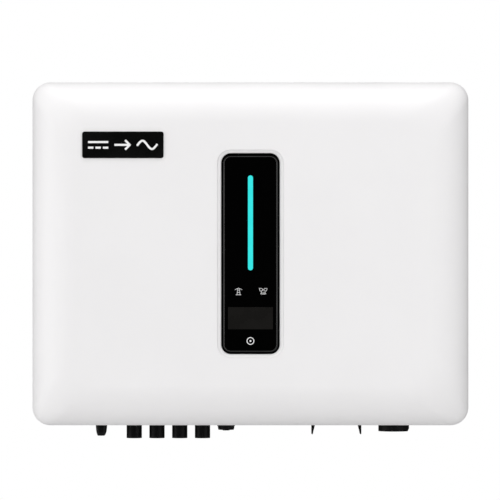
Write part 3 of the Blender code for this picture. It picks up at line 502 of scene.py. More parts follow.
dish += [grown(BEZEL, FOOT_GAP, DISH_FLOOR_Y - 0.2 * MM, RAISE), grown(BEZEL, -0.2 * MM, DISH_FLOOR_Y, RAISE)]
window = [grown(WINDOW, 0.3 * MM, DISH_FLOOR_Y), grown(WINDOW, 0, DISH_FLOOR_Y + 0.3 * MM),
          grown(WINDOW, 0, PAD_BACK_Y)]
inner_roll = ROLL - WALL
inside = [grown(PAD, 0, PAD_BACK_Y), grown(PAD, 0.2 * MM, INSIDE_Y)]
for step in range(INNER_STEPS, -1, -1):
    angle = step / INNER_STEPS * pi / 2
    inside.append(cover_section(WALL + inner_roll * (1 - cos(angle)), roll_start - inner_roll * sin(angle)))
inside += [cover_section(WALL, RIB_Y - RIB_WIDTH), grown(RIB, 0, RIB_Y - RIB_WIDTH), grown(RIB, 0, RIB_Y),
           cover_section(WALL, RIB_Y), cover_section(WALL, RIM_Y - RIM_EDGE),
           cover_section(WALL - RIM_EDGE, RIM_Y)]

# %% [markdown]
# The sections are skinned in one go. A Weighted Normal modifier then lets the big flat face lead the shading where
# it meets the roll. Without it, the narrow faces beside it can draw a faint band all round.

# %% Skin the cover
cover = add("cover_shell", loft(outer + dish + window + inside, "cover_shell", ring=True), "inverter",
            POWDER_WHITE, instead_of=["front_cover"], crease=0.9)
even = cover.modifiers.new("even_shading", "WEIGHTED_NORMAL")
even.keep_sharp = True
even.weight = 80

# %% [markdown]
# ## The display
#
# From the outside in: a black bezel, a thin dark grey ring, and a polished black panel. The ring's grey is a painted
# highlight, standing for the light that the panel's bevelled edge catches. A rounded bar of light and a small screen
# sit in openings in the panel, and two pictograms and a touch key are printed on it. All of these are *plates*: a
# flat outline, filled, given a thickness and rounded at its edges. Blender's 2D curves do that with extrude and
# bevel, holes included. Real edges are never perfectly sharp, and the thin highlight along an edge is what makes a
# small plate look real.

# %% Plates
FACING_FRONT = (pi / 2, 0, 0)               # a drawing's top points at +Z, and its face at -Y, towards the room


def plate(outlines, thickness, name, edge=0.0, edge_steps=2):
    """A flat plate in XY, centred on Z = 0. The first outline is the outside, and the others are holes."""
    curve = bpy.data.curves.new(name, "CURVE")
    curve.dimensions = "2D"
    curve.fill_mode = "BOTH"
    curve.extrude = thickness / 2 - edge
    curve.bevel_depth = edge
    curve.bevel_resolution = edge_steps
    curve.offset = -edge
    for number, outline in enumerate(outlines):
        spline = curve.splines.new("POLY")
        spline.points.add(len(outline) - 1)
        for point, (x, y) in zip(spline.points, outline if number == 0 else reversed(outline)):
            point.co = (x, y, 0.0, 1.0)
        spline.use_cyclic_u = True
    drawn = bpy.data.objects.new(name, curve)
    bpy.context.scene.collection.objects.link(drawn)
    graph = bpy.context.evaluated_depsgraph_get()
    flat = bpy.data.meshes.new_from_object(drawn.evaluated_get(graph))
    bpy.data.objects.remove(drawn)
    shape = bmesh.new()
    shape.from_mesh(flat)
    bmesh.ops.remove_doubles(shape, verts=shape.verts, dist=2e-7)
    return mesh_from(shape, name)


def face_piece(name, outlines, depth, edge, centre, y_front, material, instead_of=()):
    """A plate of the enclosure that faces the room, with its front at y_front."""
    at = (centre.x, y_front + depth / 2, centre.z)
    return add(name, plate(outlines, depth, name, edge), "inverter", material, at, FACING_FRONT, instead_of)


def outline_of(shape):
    return rounded_outline(*shape, segments=12)


# %% Bezel and highlight ring
lens_low, lens_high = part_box("display_lens")
PANEL_Y = lens_low.y
PANEL_DEPTH = lens_high.y - lens_low.y
panel_middle = middle("display_lens")
frame_middle = middle("display_frame")
# The thin grey ring between the bezel and the panel is a painted highlight: it stands for the light on the panel's
# bevelled edge.
HIGHLIGHT_RING_OUTSIDE = (66.1 * MM, 237.3 * MM, 8.7 * MM)         # width, height and corner radius
HIGHLIGHT_RING_INSIDE = (62.9 * MM, 235.6 * MM, 7.4 * MM)
bezel_opening = [(x, y - RAISE) for x, y in outline_of(HIGHLIGHT_RING_OUTSIDE)]
face_piece("display_bezel", [outline_of(BEZEL), bezel_opening], frame_size.y, 0.35 * MM,
           frame_middle + Vector((0, 0, RAISE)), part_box("display_frame")[0].y, BEZEL_BLACK, ["display_frame"])
face_piece("display_highlight_ring", [outline_of(HIGHLIGHT_RING_OUTSIDE), outline_of(HIGHLIGHT_RING_INSIDE)], PANEL_DEPTH, 0.1 * MM,
           frame_middle, PANEL_Y, PAINTED_HIGHLIGHT_GREY)

# %% [markdown]
# The panel is one plate with two holes in it. The bar and the screen are plates of their own that stand in the
# holes with a tenth of a millimetre of air all round, as moulded pieces have.

# %% Panel, status light and screen
bar = extent("light_guide")
bar_middle = middle("light_guide")
screen = extent("oled_module")
screen_middle = middle("oled_module")
FIT = 0.1 * MM
BAR_ROUND = bar.x / 2 - 0.01 * MM
panel_outlines = [
    rounded_outline(HIGHLIGHT_RING_INSIDE[0] - FIT, HIGHLIGHT_RING_INSIDE[1] - FIT, HIGHLIGHT_RING_INSIDE[2], segments=12),
    rounded_outline(bar.x + 2 * FIT, bar.z + 2 * FIT, BAR_ROUND + FIT, (0, bar_middle.z - panel_middle.z), 12),
    rounded_outline(screen.x + 2 * FIT, screen.z + 2 * FIT, 0.6 * MM, (0, screen_middle.z - panel_middle.z), 4)]
face_piece("display_panel", panel_outlines, PANEL_DEPTH, 0.08 * MM, panel_middle, PANEL_Y, PANEL_GLASS,
           ["display_lens"])
face_piece("status_light", [rounded_outline(bar.x, bar.z, BAR_ROUND, segments=12)], bar.y, 0.5 * MM, bar_middle,
           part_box("light_guide")[0].y, CYAN_GLOW, ["light_guide"])
face_piece("status_screen", [rounded_outline(screen.x, screen.z, 0.5 * MM, segments=4)], screen.y, 0.1 * MM,
           screen_middle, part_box("oled_module")[0].y, SCREEN_DARK, ["oled_module"])

# %% [markdown]
# ## Printed signs
#
# The display carries two plain pictograms, a power line and two linked screens, and a touch key, a ring with a dot.
# The pictograms are 8 to 10 mm across with strokes of half a millimetre. They could be painted by a material, but
# then their edges would blur close up. So they are thin ribbons, a tenth of a millimetre proud of the panel, like
# silk-screened ink that has built up. Each ribbon is lofted from small upright rectangles along its path.

# %% Drawing with strokes
def circle(radius, centre=(0.0, 0.0), steps=32):
    return [(centre[0] + radius * cos(i / steps * tau), centre[1] + radius * sin(i / steps * tau))
            for i in range(steps)]


def soften(points, radius, closed=False, segments=3):
    """Rounds each corner of a line of 2D points, with a smaller radius where its sides are short."""
    last = len(points) - 1
    result = []
    for i, point in enumerate(points):
        if not closed and i in (0, last):
            result.append(tuple(point))
            continue
        here = Vector(point)
        back = Vector(points[i - 1]) - here
        ahead = Vector(points[(i + 1) % len(points)]) - here
        reach = min(radius, back.length * 0.45, ahead.length * 0.45)
        start = here + back.normalized() * reach
        end = here + ahead.normalized() * reach
        for step in range(segments + 1):
            t = step / segments
            result.append(tuple(start * (1 - t) ** 2 + here * 2 * t * (1 - t) + end * t ** 2))
    return result


def bent_sheet(path, thickness, bend):
    """The edge view of a bent sheet: both sides of its middle line, with round bends."""
    line = [Vector(p) for p in soften(path, bend, segments=5)]
    near, far = [], []
    for i, point in enumerate(line):
        ahead = line[min(i + 1, len(line) - 1)] - line[max(i - 1, 0)]
        across = Vector((-ahead.y, ahead.x)).normalized() * thickness / 2
        near.append(tuple(point + across))
        far.append(tuple(point - across))
    return near + list(reversed(far))


def merged(meshes, name):
    """One mesh out of (mesh, matrix) pairs."""
    shape = bmesh.new()
    for mesh, matrix in meshes:
        part = mesh.copy()
        part.transform(matrix)
        shape.from_mesh(part)
    return mesh_from(shape, name)


def strokes(paths, width, thickness, name):
    """Line art as flat ribbons along 2D paths. Each is a little thinner than the last, so none coincide."""
    ribbons = []
    for number, path in enumerate(paths):
        height = thickness * (1 - 0.04 * number)
        line = [Vector(p) for p in path]
        line[0] = line[0] + (line[0] - line[1]).normalized() * width / 2
        line[-1] = line[-1] + (line[-1] - line[-2]).normalized() * width / 2
        sides = bent_sheet(line, width, 0.05 * width)
        pairs = [(sides[i], sides[-1 - i]) for i in range(len(sides) // 2)]
        ribbon = loft([[(*near, height), (*near, 0), (*far, 0), (*far, height)] for near, far in pairs], "ribbon")
        ribbons.append((ribbon, Matrix.Translation((0, 0, -thickness / 2))))
    return merged(ribbons, name)


def scaled(paths, unit):
    return [[(x * unit, y * unit) for x, y in path] for path in paths]


def mirrored(paths):
    return paths + [[(-x, y) for x, y in path] for path in paths]


# %% Pictograms and the touch key
INK = 0.1 * MM
STROKE = 0.55 * MM
power_line = mirrored([[(1.9, -4.2), (1.0, 3.4)], [(0.2, 4.0), (4.3, 2.2)]])
power_line += [[(-3.0, -4.2), (3.0, -4.2)], [(-1.5, 1.6), (1.5, 1.6)], [(-1.7, -1.4), (1.7, -1.4)]]
linked_screens = mirrored([[(1.0, 3.7), (4.9, 3.7), (4.1, 0.6), (1.0, 0.6), (1.0, 3.7)],
                           [(2.6, 0.6), (2.2, -2.0)]])
linked_screens += [[(-3.4, -3.3), (-2.6, -2.0), (2.6, -2.0), (3.4, -3.3), (-3.4, -3.3)], [(-1.0, 2.1), (1.0, 2.1)]]
PICTOGRAMS = {"mark_power_line": (power_line, -14.5), "mark_linked_screens": (linked_screens, 15.5)}
for name, (drawing, across) in PICTOGRAMS.items():
    place = (panel_middle.x + across * MM, PANEL_Y - INK / 2, BODY.z - 45.5 * MM)
    add(name, strokes(scaled(drawing, 0.98 * MM), STROKE, INK, name), "inverter", PRINT_GREY, place, FACING_FRONT)
ring = plate([circle(4.6 * MM, steps=48), circle(3.7 * MM, steps=48)], INK, "ring")
key = merged([(ring, Matrix()), (plate([circle(1.1 * MM)], INK, "dot"), Matrix())], "touch_key")
add("touch_key", key, "inverter", PRINT_WHITE, (panel_middle.x, PANEL_Y - INK / 2, BODY.z - 105.7 * MM),
    FACING_FRONT)

# %% [markdown]
# ## The badge
#
# A small black plate at the upper left. It carries no name, only what the machine does: direct current goes in,
# and alternating current comes out. A solid line over a dashed one, an arrow and a wave are the usual signs for that.

# %% Badge plate and its signs
badge = extent("badge_plate")
badge_middle = middle("badge_plate")
BADGE_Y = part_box("badge_plate")[0].y + INK
plate_outline = rounded_outline(badge.x + 0.3 * MM, badge.z + 0.3 * MM, 3 * MM)
face_piece("badge", [plate_outline], badge.y, 0.5 * MM, badge_middle, BADGE_Y, BADGE_BLACK, ["badge_plate"])

SIGN = 2.5 * MM
direct = [[(-41, 3.4), (-19, 3.4)]] + [[(-41 + 9 * i, -3.4), (-37 + 9 * i, -3.4)] for i in range(3)]
arrow = [[(-9, 0), (7, 0)], [(3.6, 4.8), (8.4, 0), (3.6, -4.8)]]
WAVE_STEPS = 28
wave = [[(18 + 23 * i / WAVE_STEPS, 5 * sin(i / WAVE_STEPS * tau)) for i in range(WAVE_STEPS + 1)]]
signs = strokes(scaled(direct + arrow + wave, MM), SIGN, INK, "badge_signs")
add("badge_signs", signs, "inverter", PRINT_WHITE, (badge_middle.x, BADGE_Y - INK / 2, badge_middle.z),
    FACING_FRONT)

# %% [markdown]
# ## The housing
#
# A painted tray behind the cover, with a flange that the cover screws to. It is a loft too: out from the back
# window, round the back edge, along the side, round the flange and into the tray. The holes for the ports are cut
# through its floor afterwards.

# %% Housing tray
housing_low, housing_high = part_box("housing")
housing_size = housing_high - housing_low
TRAY = (494 * MM, 380 * MM, 14 * MM)
FLANGE = (housing_size.x, housing_size.z, 16 * MM)
BACK_Y, FRONT_Y = housing_high.y, housing_low.y
SHEET = 3 * MM
WINDOW_BACK = (430 * MM, 290 * MM, 6 * MM)
CAVITY = (TRAY[0] - 2 * SHEET, TRAY[1] - 2 * SHEET, 11 * MM)


def back_edge(shape, y, radius, steps=4):
    """Sections round an outer edge, from the back face into the side."""
    rows = []
    for step in range(steps + 1):
        angle = step / steps * pi / 2
        rows.append(grown(shape, -radius * (1 - sin(angle)), y - radius * (1 - cos(angle))))
    return rows


tray = [grown(WINDOW_BACK, 0, BACK_Y)] + back_edge(TRAY, BACK_Y, 3 * MM)
tray += [grown(TRAY, 0, FRONT_Y + SHEET + 1.5 * MM), grown(TRAY, 0.5 * MM, FRONT_Y + SHEET + 0.4 * MM),
         grown(TRAY, 1.6 * MM, FRONT_Y + SHEET)]
tray += [grown(FLANGE, -0.6 * MM, FRONT_Y + SHEET), grown(FLANGE, 0, FRONT_Y + SHEET - 0.6 * MM),
         grown(FLANGE, 0, FRONT_Y + 0.6 * MM), grown(FLANGE, -0.6 * MM, FRONT_Y)]
tray += [grown(CAVITY, 0.5 * MM, FRONT_Y), grown(CAVITY, 0, FRONT_Y + 0.5 * MM),
         grown(CAVITY, 0, BACK_Y - SHEET), grown(WINDOW_BACK, 0, BACK_Y - SHEET)]
housing = add("housing_tray", loft(tray, "housing_tray", ring=True), "inverter", HOUSING_WHITE,
              instead_of=["housing"], crease=0.7)

# %% [markdown]
# Holes are cut with Boolean modifiers, which are applied at once, so that the finished mesh stands by itself. The
# round cutters are *turned*: a profile swept round an axis, as on a lathe. The same helper makes every cap and
# socket later on, and can press grip ribs into a stretch of the profile.

# %% Turning and cutting
def turned(profile, name, rounding=0.0, segments=2, steps=64, ribs=0, rib_depth=0.0, rib_span=(0.0, 0.0)):
    """Sweeps (radius, height) points, in millimetres, round Z, with their corners rounded.

    Points whose height is inside rib_span get that many grip ribs."""
    shape = bmesh.new()
    if rounding:
        profile = soften(profile, rounding, segments=segments)
    if ribs:
        steps = ribs * 8
    rows = []
    for radius, height in profile:
        if radius < 1e-4:
            rows.append([shape.verts.new((0, 0, height * MM))])
            continue
        ribbed = ribs and rib_span[0] <= height <= rib_span[1]
        row = []
        for i in range(steps):
            groove = max(0.0, -cos(i / 8 * tau)) ** 0.5 if ribbed else 0.0
            r = (radius - rib_depth * groove) * MM
            row.append(shape.verts.new((r * cos(i / steps * tau), r * sin(i / steps * tau), height * MM)))
        rows.append(row)
    for row, following in zip(rows, rows[1:]):
        for i in range(steps):
            j = (i + 1) % steps
            corners = [row[i % len(row)], row[j % len(row)], following[j % len(following)],
                       following[i % len(following)]]
            face = list(dict.fromkeys(corners))
            if len(face) > 2:
                shape.faces.new(face)
    return mesh_from(shape, name)


def carve(piece, cutters, crease=0.7):
    """Cuts each (mesh, place, turn) out of a piece, for good, and shades it again."""
    for mesh, place, turn in cutters:
        cutter = placed("cutter", mesh, place, turn)
        modifier = piece.modifiers.new("cut", "BOOLEAN")
        modifier.operation = "DIFFERENCE"
        modifier.object = cutter
        modifier.solver = "EXACT"
        bpy.context.view_layer.update()
        graph = bpy.context.evaluated_depsgraph_get()
        result = bpy.data.meshes.new_from_object(piece.evaluated_get(graph))
        piece.modifiers.clear()
        piece.data = result
        bpy.data.objects.remove(cutter)
    piece.data.shade_smooth()
    piece.data.set_sharp_from_angle(angle=crease)
    print(f"  {piece.name}: {len(cutters)} cuts")
    return piece


# %% [markdown]
# Each port has a round hole in the housing's floor, on its own axis. The communications port has a rectangular one.

# %% Holes in the housing
def port_axis(name):
    """Where a port's axis meets the underside of the housing."""
    return Vector((middle(name).x, PORT_Y, FLOOR_Z))


HOLE_RADII = {"dc_switch_plate": 6.0, "data_socket": 9.5, "vent_plug": 6.0, "ac_socket": 15.5}
HOLE_RADII.update({f"pv_socket_{i}": 8.0 for i in range(1, 5)})
CUT = 7                                     # how far a cutter reaches above and below the underside, in millimetres
cutters = [(turned([(0, CUT), (radius, CUT), (radius, -CUT), (0, -CUT)], "cutter", steps=40), port_axis(port),
            (0, 0, 0)) for port, radius in HOLE_RADII.items()]
com_opening = plate([rounded_outline(45 * MM, 21 * MM, 1 * MM, segments=3)], 2 * CUT * MM, "cutter")
cutters.append((com_opening, port_axis("com_base"), (0, 0, 0)))
carve(housing, cutters)

# %% [markdown]
# ## Cover screws
#
# The cover is held by button-head screws from behind, all round the flange. The head is turned, and then a hexagon
# socket is cut into it. One mesh serves all of them, so the cut is made once. Four of them take the places of the
# frame's own. With the others, a screw stands every 60 mm along the sides, and four each hold the top and bottom.

# %% One screw for all places
HEAD = [(0, 2.9), (2.5, 2.9), (3.45, 1.7), (3.5, 0.3), (1.9, 0.3), (1.9, -8.5), (1.5, -9.0), (0, -9.0)]
blank = placed("blank", turned(HEAD, "button_screw", 0.3, steps=32))
hexagon = plate([circle(1.45 * MM, steps=6)], 3.4 * MM, "cutter")
screw_mesh = carve(blank, [(hexagon, (0, 0, 2.9 * MM), (0, 0, 0))]).data
bpy.data.objects.remove(blank)
SCREW_Y = FRONT_Y + SHEET
TURN_TO_BACK = (-pi / 2, 0, 0)
SIDE_X = max(middle(f"cover_screw_{i}").x for i in range(1, 5))
EDGE_Z = FLANGE[1] / 2 - 4.5 * MM
screws = [(middle(n).x, middle(n).z, [n]) for n in [f"cover_screw_{i}" for i in range(1, 5)]]
screws += [(x, BODY.z + z * MM, ()) for x in (-SIDE_X, SIDE_X) for z in (-60, 0, 60, 180, -180)]
screws += [(x * MM, BODY.z + z, ()) for x in (-200, -70, 70, 200) for z in (-EDGE_Z, EDGE_Z)]
for number, (x, z, nodes) in enumerate(screws, 1):
    add(f"flange_screw_{number}", screw_mesh, "inverter", SCREW_STEEL, (x, SCREW_Y, z), TURN_TO_BACK, nodes)

# %% [markdown]
# ## The heat sink
#
# One aluminium extrusion: a thick base with fins along its whole height. The fins taper a little and have round
# tips, as an extrusion die needs. Copies of one fin on a box would leave seams between them, so the whole outline
# is drawn once, seen from above, and pulled out along Z.

# %% Heat sink
sink_low, sink_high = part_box("heat_sink")
FINS = 34
FIN_ROOT_Y = sink_low.y + 10 * MM
FIN_TIP_Y = sink_high.y
ROOT_HALF, TIP_HALF = 1.5 * MM, 1.0 * MM
FILLET = 1.5 * MM


def comb():
    """The base with its fins, anticlockwise, seen from above."""
    half = sink_high.x
    pitch = (2 * half - 2 * ROOT_HALF) / (FINS - 1)
    points = [(half, sink_low.y), (-half, sink_low.y)]
    for fin in range(FINS):
        x = -half + ROOT_HALF + fin * pitch
        if fin:
            points += [(x - ROOT_HALF - FILLET, FIN_ROOT_Y),
                       (x - ROOT_HALF - FILLET * 0.3, FIN_ROOT_Y + FILLET * 0.3)]
        points.append((x - ROOT_HALF, FIN_ROOT_Y + FILLET))
        for step in range(5):
            angle = pi - step / 4 * pi
            points.append((x + TIP_HALF * cos(angle), FIN_TIP_Y - TIP_HALF + TIP_HALF * sin(angle)))
        points.append((x + ROOT_HALF, FIN_ROOT_Y + FILLET))
        if fin < FINS - 1:
            points += [(x + ROOT_HALF + FILLET * 0.3, FIN_ROOT_Y + FILLET * 0.3),
                       (x + ROOT_HALF + FILLET, FIN_ROOT_Y)]
    return list(reversed(points))


add("finned_heat_sink", plate([comb()], sink_high.z - sink_low.z, "finned_heat_sink"), "inverter", SINK_ALUMINIUM,
    (0, 0, (sink_high.z + sink_low.z) / 2), instead_of=["heat_sink"], crease=0.5)

# %% [markdown]
# ## Bracket, hanger and stay
#
# Three pieces of zinc plated sheet. A bent sheet is drawn by its middle line with a round bend at each fold,
# then given its thickness on both sides. The wall bracket's holes are slots, so that it can be levelled.

# %% Folded sheets
ALONG_X = (pi / 2, 0, pi / 2)               # a drawing's x points at +Y, its y at +Z, and its thickness runs along X
BEND = 2.2 * MM


def folded(name, path, thickness, body, node_name):
    """A bent sheet as wide as the frame's solid, out of the middle line of its edge view."""
    outline = bent_sheet(path, thickness, BEND)
    return add(name, plate([outline], extent(node_name).x, name, 0.2 * MM), body, ZINC_SHEET, turn=ALONG_X,
               instead_of=[node_name], crease=0.7)


bracket_low, bracket_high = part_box("wall_bracket")
LIP_Z = 43.5 * MM                           # where the bracket steps out, so that its lip stands clear of the wall
bracket = folded("bracket_plate", [(-1.5 * MM, bracket_low.z), (-1.5 * MM, LIP_Z), (-7.5 * MM, LIP_Z),
                                   (-7.5 * MM, bracket_high.z)], 3 * MM, "wall", "wall_bracket")
HALF = 1.25 * MM                            # half the thickness of the hanger's and the stay's sheet
hanger_low, hanger_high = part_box("hanger_bar")
folded("hanger", [(hanger_high.y - HALF, 46.5 * MM), (hanger_high.y - HALF, hanger_high.z - HALF),
                  (hanger_low.y + HALF, hanger_high.z - HALF), (hanger_low.y + HALF, hanger_low.z)], 2 * HALF,
       "inverter", "hanger_bar")
stay_low, stay_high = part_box("lower_stay")
STEP_Z = stay_high.z - 29.25 * MM
folded("stay", [(-HALF, stay_high.z), (-HALF, STEP_Z), (stay_low.y + HALF, STEP_Z), (stay_low.y + HALF, stay_low.z)],
       2 * HALF, "inverter", "lower_stay")

# %% [markdown]
# The bracket is screwed to the wall through slots. Three lie in the middle row, and two pairs stand further out.

# %% Slots in the wall bracket
slot_mesh = plate([rounded_outline(16 * MM, 9 * MM, 4.49 * MM, segments=10)], 30 * MM, "cutter")
slots = [(slot_mesh, (x * MM, 0, z * MM), FACING_FRONT) for x in (-120, 120) for z in (-28, 28)]
slots += [(slot_mesh, (x * MM, 0, 0), FACING_FRONT) for x in (-60, 0.1, 60)]
carve(bracket, slots)

# %% [markdown]
# ## The DC switch
#
# A rotary isolator under the left corner. Its grip is a thick blade across a round base, tapering to its end with
# a chamfer. It is lofted from rounded rectangles, so that every edge is soft in the hand. A white line on its end
# shows which way it points.

# %% Switch grip
switch_at = port_axis("dc_switch_knob")
GRIP = [(7.3, -12.9), (7.2, -14.0), (6.7, -21.0), (6.1, -27.5), (5.75, -30.2), (5.3, -31.6), (4.5, -33.9),
        (4.1, -34.3)]                                   # half width and height, in millimetres
GRIP_HALF = 18.3


def grip_section(half, z, end):
    return [(x * MM, y * MM, z * MM) for x, y in
            rounded_outline(2 * half, 2 * end, min(half, 4.5) * 0.96, segments=8)]


blade = loft([grip_section(half, z, GRIP_HALF - max(0, -30 - z) * 0.25) for half, z in GRIP], "blade")
base_profile = [(0, -6.3), (19.0, -6.3), (19.0, -12.6), (17.5, -14.8), (0, -14.8)]
base = turned(base_profile, "base", 1.0, 3, ribs=30, rib_depth=0.5, rib_span=(-12.0, -7.0))
add("switch_grip", merged([(blade, Matrix()), (base, Matrix())], "switch_grip"), "dc_switch", SWITCH_BLACK,
    switch_at, instead_of=["dc_switch_knob"], crease=0.7)
pointer = plate([rounded_outline(2.2 * MM, 15 * MM, 1.05 * MM, (0, -7.5 * MM), 5)], INK, "pointer")
add("switch_pointer", pointer, "dc_switch", PRINT_WHITE, switch_at + Vector((0, 0, GRIP[-1][1] * MM - INK / 2)))

# %% [markdown]
# The grip turns on a square plate that stays on the housing. The signs for off and on, a ring and a bar, are
# printed on the housing's underside, in front of the plate and to its left, where the pointer ends up.

# %% Switch plate with its off and on marks
FACING_DOWN = (pi, 0, 0)                    # for marks that are read from below
plate_size = extent("dc_switch_plate")
surround = plate([rounded_outline(plate_size.x, plate_size.y, 4 * MM), circle(4.8 * MM)], plate_size.z,
                 "switch_plate", 0.6 * MM, 3)
add("switch_surround", surround, "inverter", MOULDED_BLACK,
    (switch_at.x, PORT_Y, FLOOR_Z - 0.3 * MM - plate_size.z / 2), instead_of=["dc_switch_plate"])
off_mark = plate([circle(2.6 * MM, steps=40), circle(1.8 * MM, steps=40)], INK, "off_mark")
on_mark = strokes(scaled([[(0, -2.2), (0, 2.2)]], MM), 0.8 * MM, INK, "on_mark")
add("switch_off_mark", off_mark, "inverter", PRINT_GREY, switch_at + Vector((0, -28.5 * MM, -INK / 2)), FACING_DOWN)
add("switch_on_mark", on_mark, "inverter", PRINT_GREY, switch_at + Vector((-30 * MM, 0, -INK / 2)), FACING_DOWN)

# %% [markdown]
# ## Panel inputs
#
# Four round sockets, each under its dust cap. Socket and cap are turned from the same axis: the cap is a plain
# sleeve with a small rounded end, and the socket has a ribbed nut against the housing, a barrel and its contact pin.

# %% Sockets and dust caps
pv_socket_profile = [(0, 18), (7.6, 18), (7.6, 0), (9.6, -0.3), (9.6, -4.5), (7.5, -4.7), (7.5, -26.5),
                     (5.5, -26.5), (5.5, -6.5), (0, -6.5)]
contact_profile = [(0, -6.2), (2.0, -6.2), (2.0, -21.2), (1.3, -22.0), (0, -22.0)]
pv_cap_profile = [(0, -22.5), (2.4, -22.5), (2.4, -9.0), (5.2, -9.0), (5.2, -27.0), (7.8, -27.0), (7.8, -5.0),
                  (9.45, -5.0), (9.45, -37.8), (0, -37.8)]
socket_mesh = turned(pv_socket_profile, "pv_socket", 0.35, ribs=10, rib_depth=0.5, rib_span=(-4.3, -0.2))
cap_mesh = turned(pv_cap_profile, "pv_cap", 0.55, 3)
contact_mesh = turned(contact_profile, "contact", 0.3, steps=24)
for number in range(1, 5):
    at = port_axis(f"pv_cap_{number}")
    add(f"panel_socket_{number}", socket_mesh, "inverter", MOULDED_BLACK, at, instead_of=[f"pv_socket_{number}"])
    add(f"contact_pin_{number}", contact_mesh, "inverter", CONTACT_METAL, at)
    add(f"dust_cap_{number}", cap_mesh, f"pv_cap_{number}", CAP_RUBBER, at, instead_of=[f"pv_cap_{number}"])

# %% [markdown]
# ## Data port
#
# A threaded socket with a screw cap. The cap has a broad plain skirt, then steps in to a flat end with a small
# boss in the middle. The seal stays inside it. The thread is drawn as rings, because a real helix would look the
# same at this size and cost many more faces.

# %% Data port pieces
data_at = port_axis("data_cap")
data_cap_profile = [(0, -22.0), (9.0, -22.0), (9.0, -5.0), (12.0, -5.0), (12.0, -20.4), (11.2, -22.2), (10.3, -23.4),
                    (10.1, -24.8), (9.55, -27.5), (4.3, -27.5), (4.3, -28.4), (0, -28.4)]
add("data_screw_cap", turned(data_cap_profile, "data_screw_cap", 0.3, steps=192), "data_cap", MOULDED_BLACK, data_at,
    instead_of=["data_cap"])
data_socket_profile = [(0, 14), (9.0, 14), (9.0, 0), (12.0, -0.3), (12.0, -4.3), (8.6, -4.5)]
THREAD_TURNS, THREAD_PITCH = 7, 1.8
for turn_number in range(THREAD_TURNS):
    top = -5.5 - turn_number * THREAD_PITCH
    data_socket_profile += [(8.25, top), (8.25, top - 0.6), (8.6, top - 0.9), (8.6, top - 1.2)]
data_socket_profile += [(8.4, -18.5), (6.5, -18.5), (6.5, -6.0), (0, -6.0)]
add("data_threaded_socket", turned(data_socket_profile, "data_threaded_socket", 0.12, 1), "inverter", MOULDED_BLACK,
    data_at, instead_of=["data_socket"])
data_seal_profile = [(0, -7.0), (6.1, -7.0), (6.1, -19.0), (8.6, -19.0), (8.6, -21.5), (0, -21.5)]
add("data_cap_seal", turned(data_seal_profile, "data_cap_seal", 0.5, 3, steps=48), "data_seal", SEAL_RUBBER, data_at,
    instead_of=["data_seal"])

# %% [markdown]
# ## Communications port
#
# A rectangular base on the housing and a cover that plugs into it, with a squeeze latch at each end. A latch is
# a lever: its tapered finger hangs well below the cover, and its pin turns in two ears.

# %% Port base and plug cover
com_at = port_axis("com_base")


def level(outlines, low, high, name, edge):
    """A plate lying level between two heights, in millimetres, as a (mesh, matrix) pair."""
    mesh = plate(outlines, (high - low) * MM, name, edge * MM)
    return mesh, Matrix.Translation((0, 0, (high + low) / 2 * MM))


recess = rounded_outline(38 * MM, 14 * MM, 0.6 * MM, segments=3)
throat = rounded_outline(43.5 * MM, 19.5 * MM, 1 * MM, segments=3)
base_mesh = merged([level([rounded_outline(58 * MM, 32 * MM, 3 * MM), recess], -4.8, -0.3, "com_flange", 0.5),
                    level([throat, recess], -0.3, 9.0, "com_throat", 0.2),
                    level([throat], 9.0, 13.0, "com_end", 0.2)], "com_base")
add("com_port_base", base_mesh, "inverter", MOULDED_BLACK, com_at, instead_of=["com_base"])

# %% [markdown]
# The plug cover is a rounded cap with ribs to hold it by, and a plug that fills the recess. The two ears at each
# end carry a latch's pin between them.

# %% Plug cover with its ears
PIVOT = (28.4, -12.5)
LATCH_EAR_Y = 10.25
UPRIGHT = Matrix.Rotation(pi / 2, 4, "X")
ear_outline = soften([(21.0, -16.0), (21.0, -9.0), (31.6, -9.0), (31.6, -16.0)], 2.6, closed=True, segments=5)
pin_hole = circle(1.9 * MM, (PIVOT[0] * MM, PIVOT[1] * MM), 24)
ear_meshes = []
for side in (0, pi):
    for depth in (-1, 1):
        stand = Matrix.Rotation(side, 4, "Z") @ Matrix.Translation((0, depth * LATCH_EAR_Y * MM, 0)) @ UPRIGHT
        ear_meshes.append((plate([*scaled([ear_outline], MM), pin_hole], 2.5 * MM, "ear", 0.3 * MM), stand))
rib_lines = [level([rounded_outline(1.4 * MM, 18 * MM, 0.65 * MM, (x * MM, 0), 3)], -17.0, -16.6, "rib", 0.15)
             for x in range(-18, 19, 6)]
cover_parts = [level([rounded_outline(50 * MM, 28 * MM, 4 * MM)], -16.6, -5.1, "com_cap", 1.0),
               level([rounded_outline(37.4 * MM, 13.4 * MM, 0.6 * MM, segments=3)], -5.4, 7.8, "com_plug", 0.3)]
add("com_plug_cover", merged(cover_parts + ear_meshes + rib_lines, "com_plug_cover"), "com_cover", MOULDED_BLACK,
    com_at, instead_of=["com_cover"])

# %% [markdown]
# Each latch is drawn in side view and given its width as a plate, so its finger can taper and bend as a moulded
# one does. The pin is turned and merged with it. The left one is the mirror image of the right one.

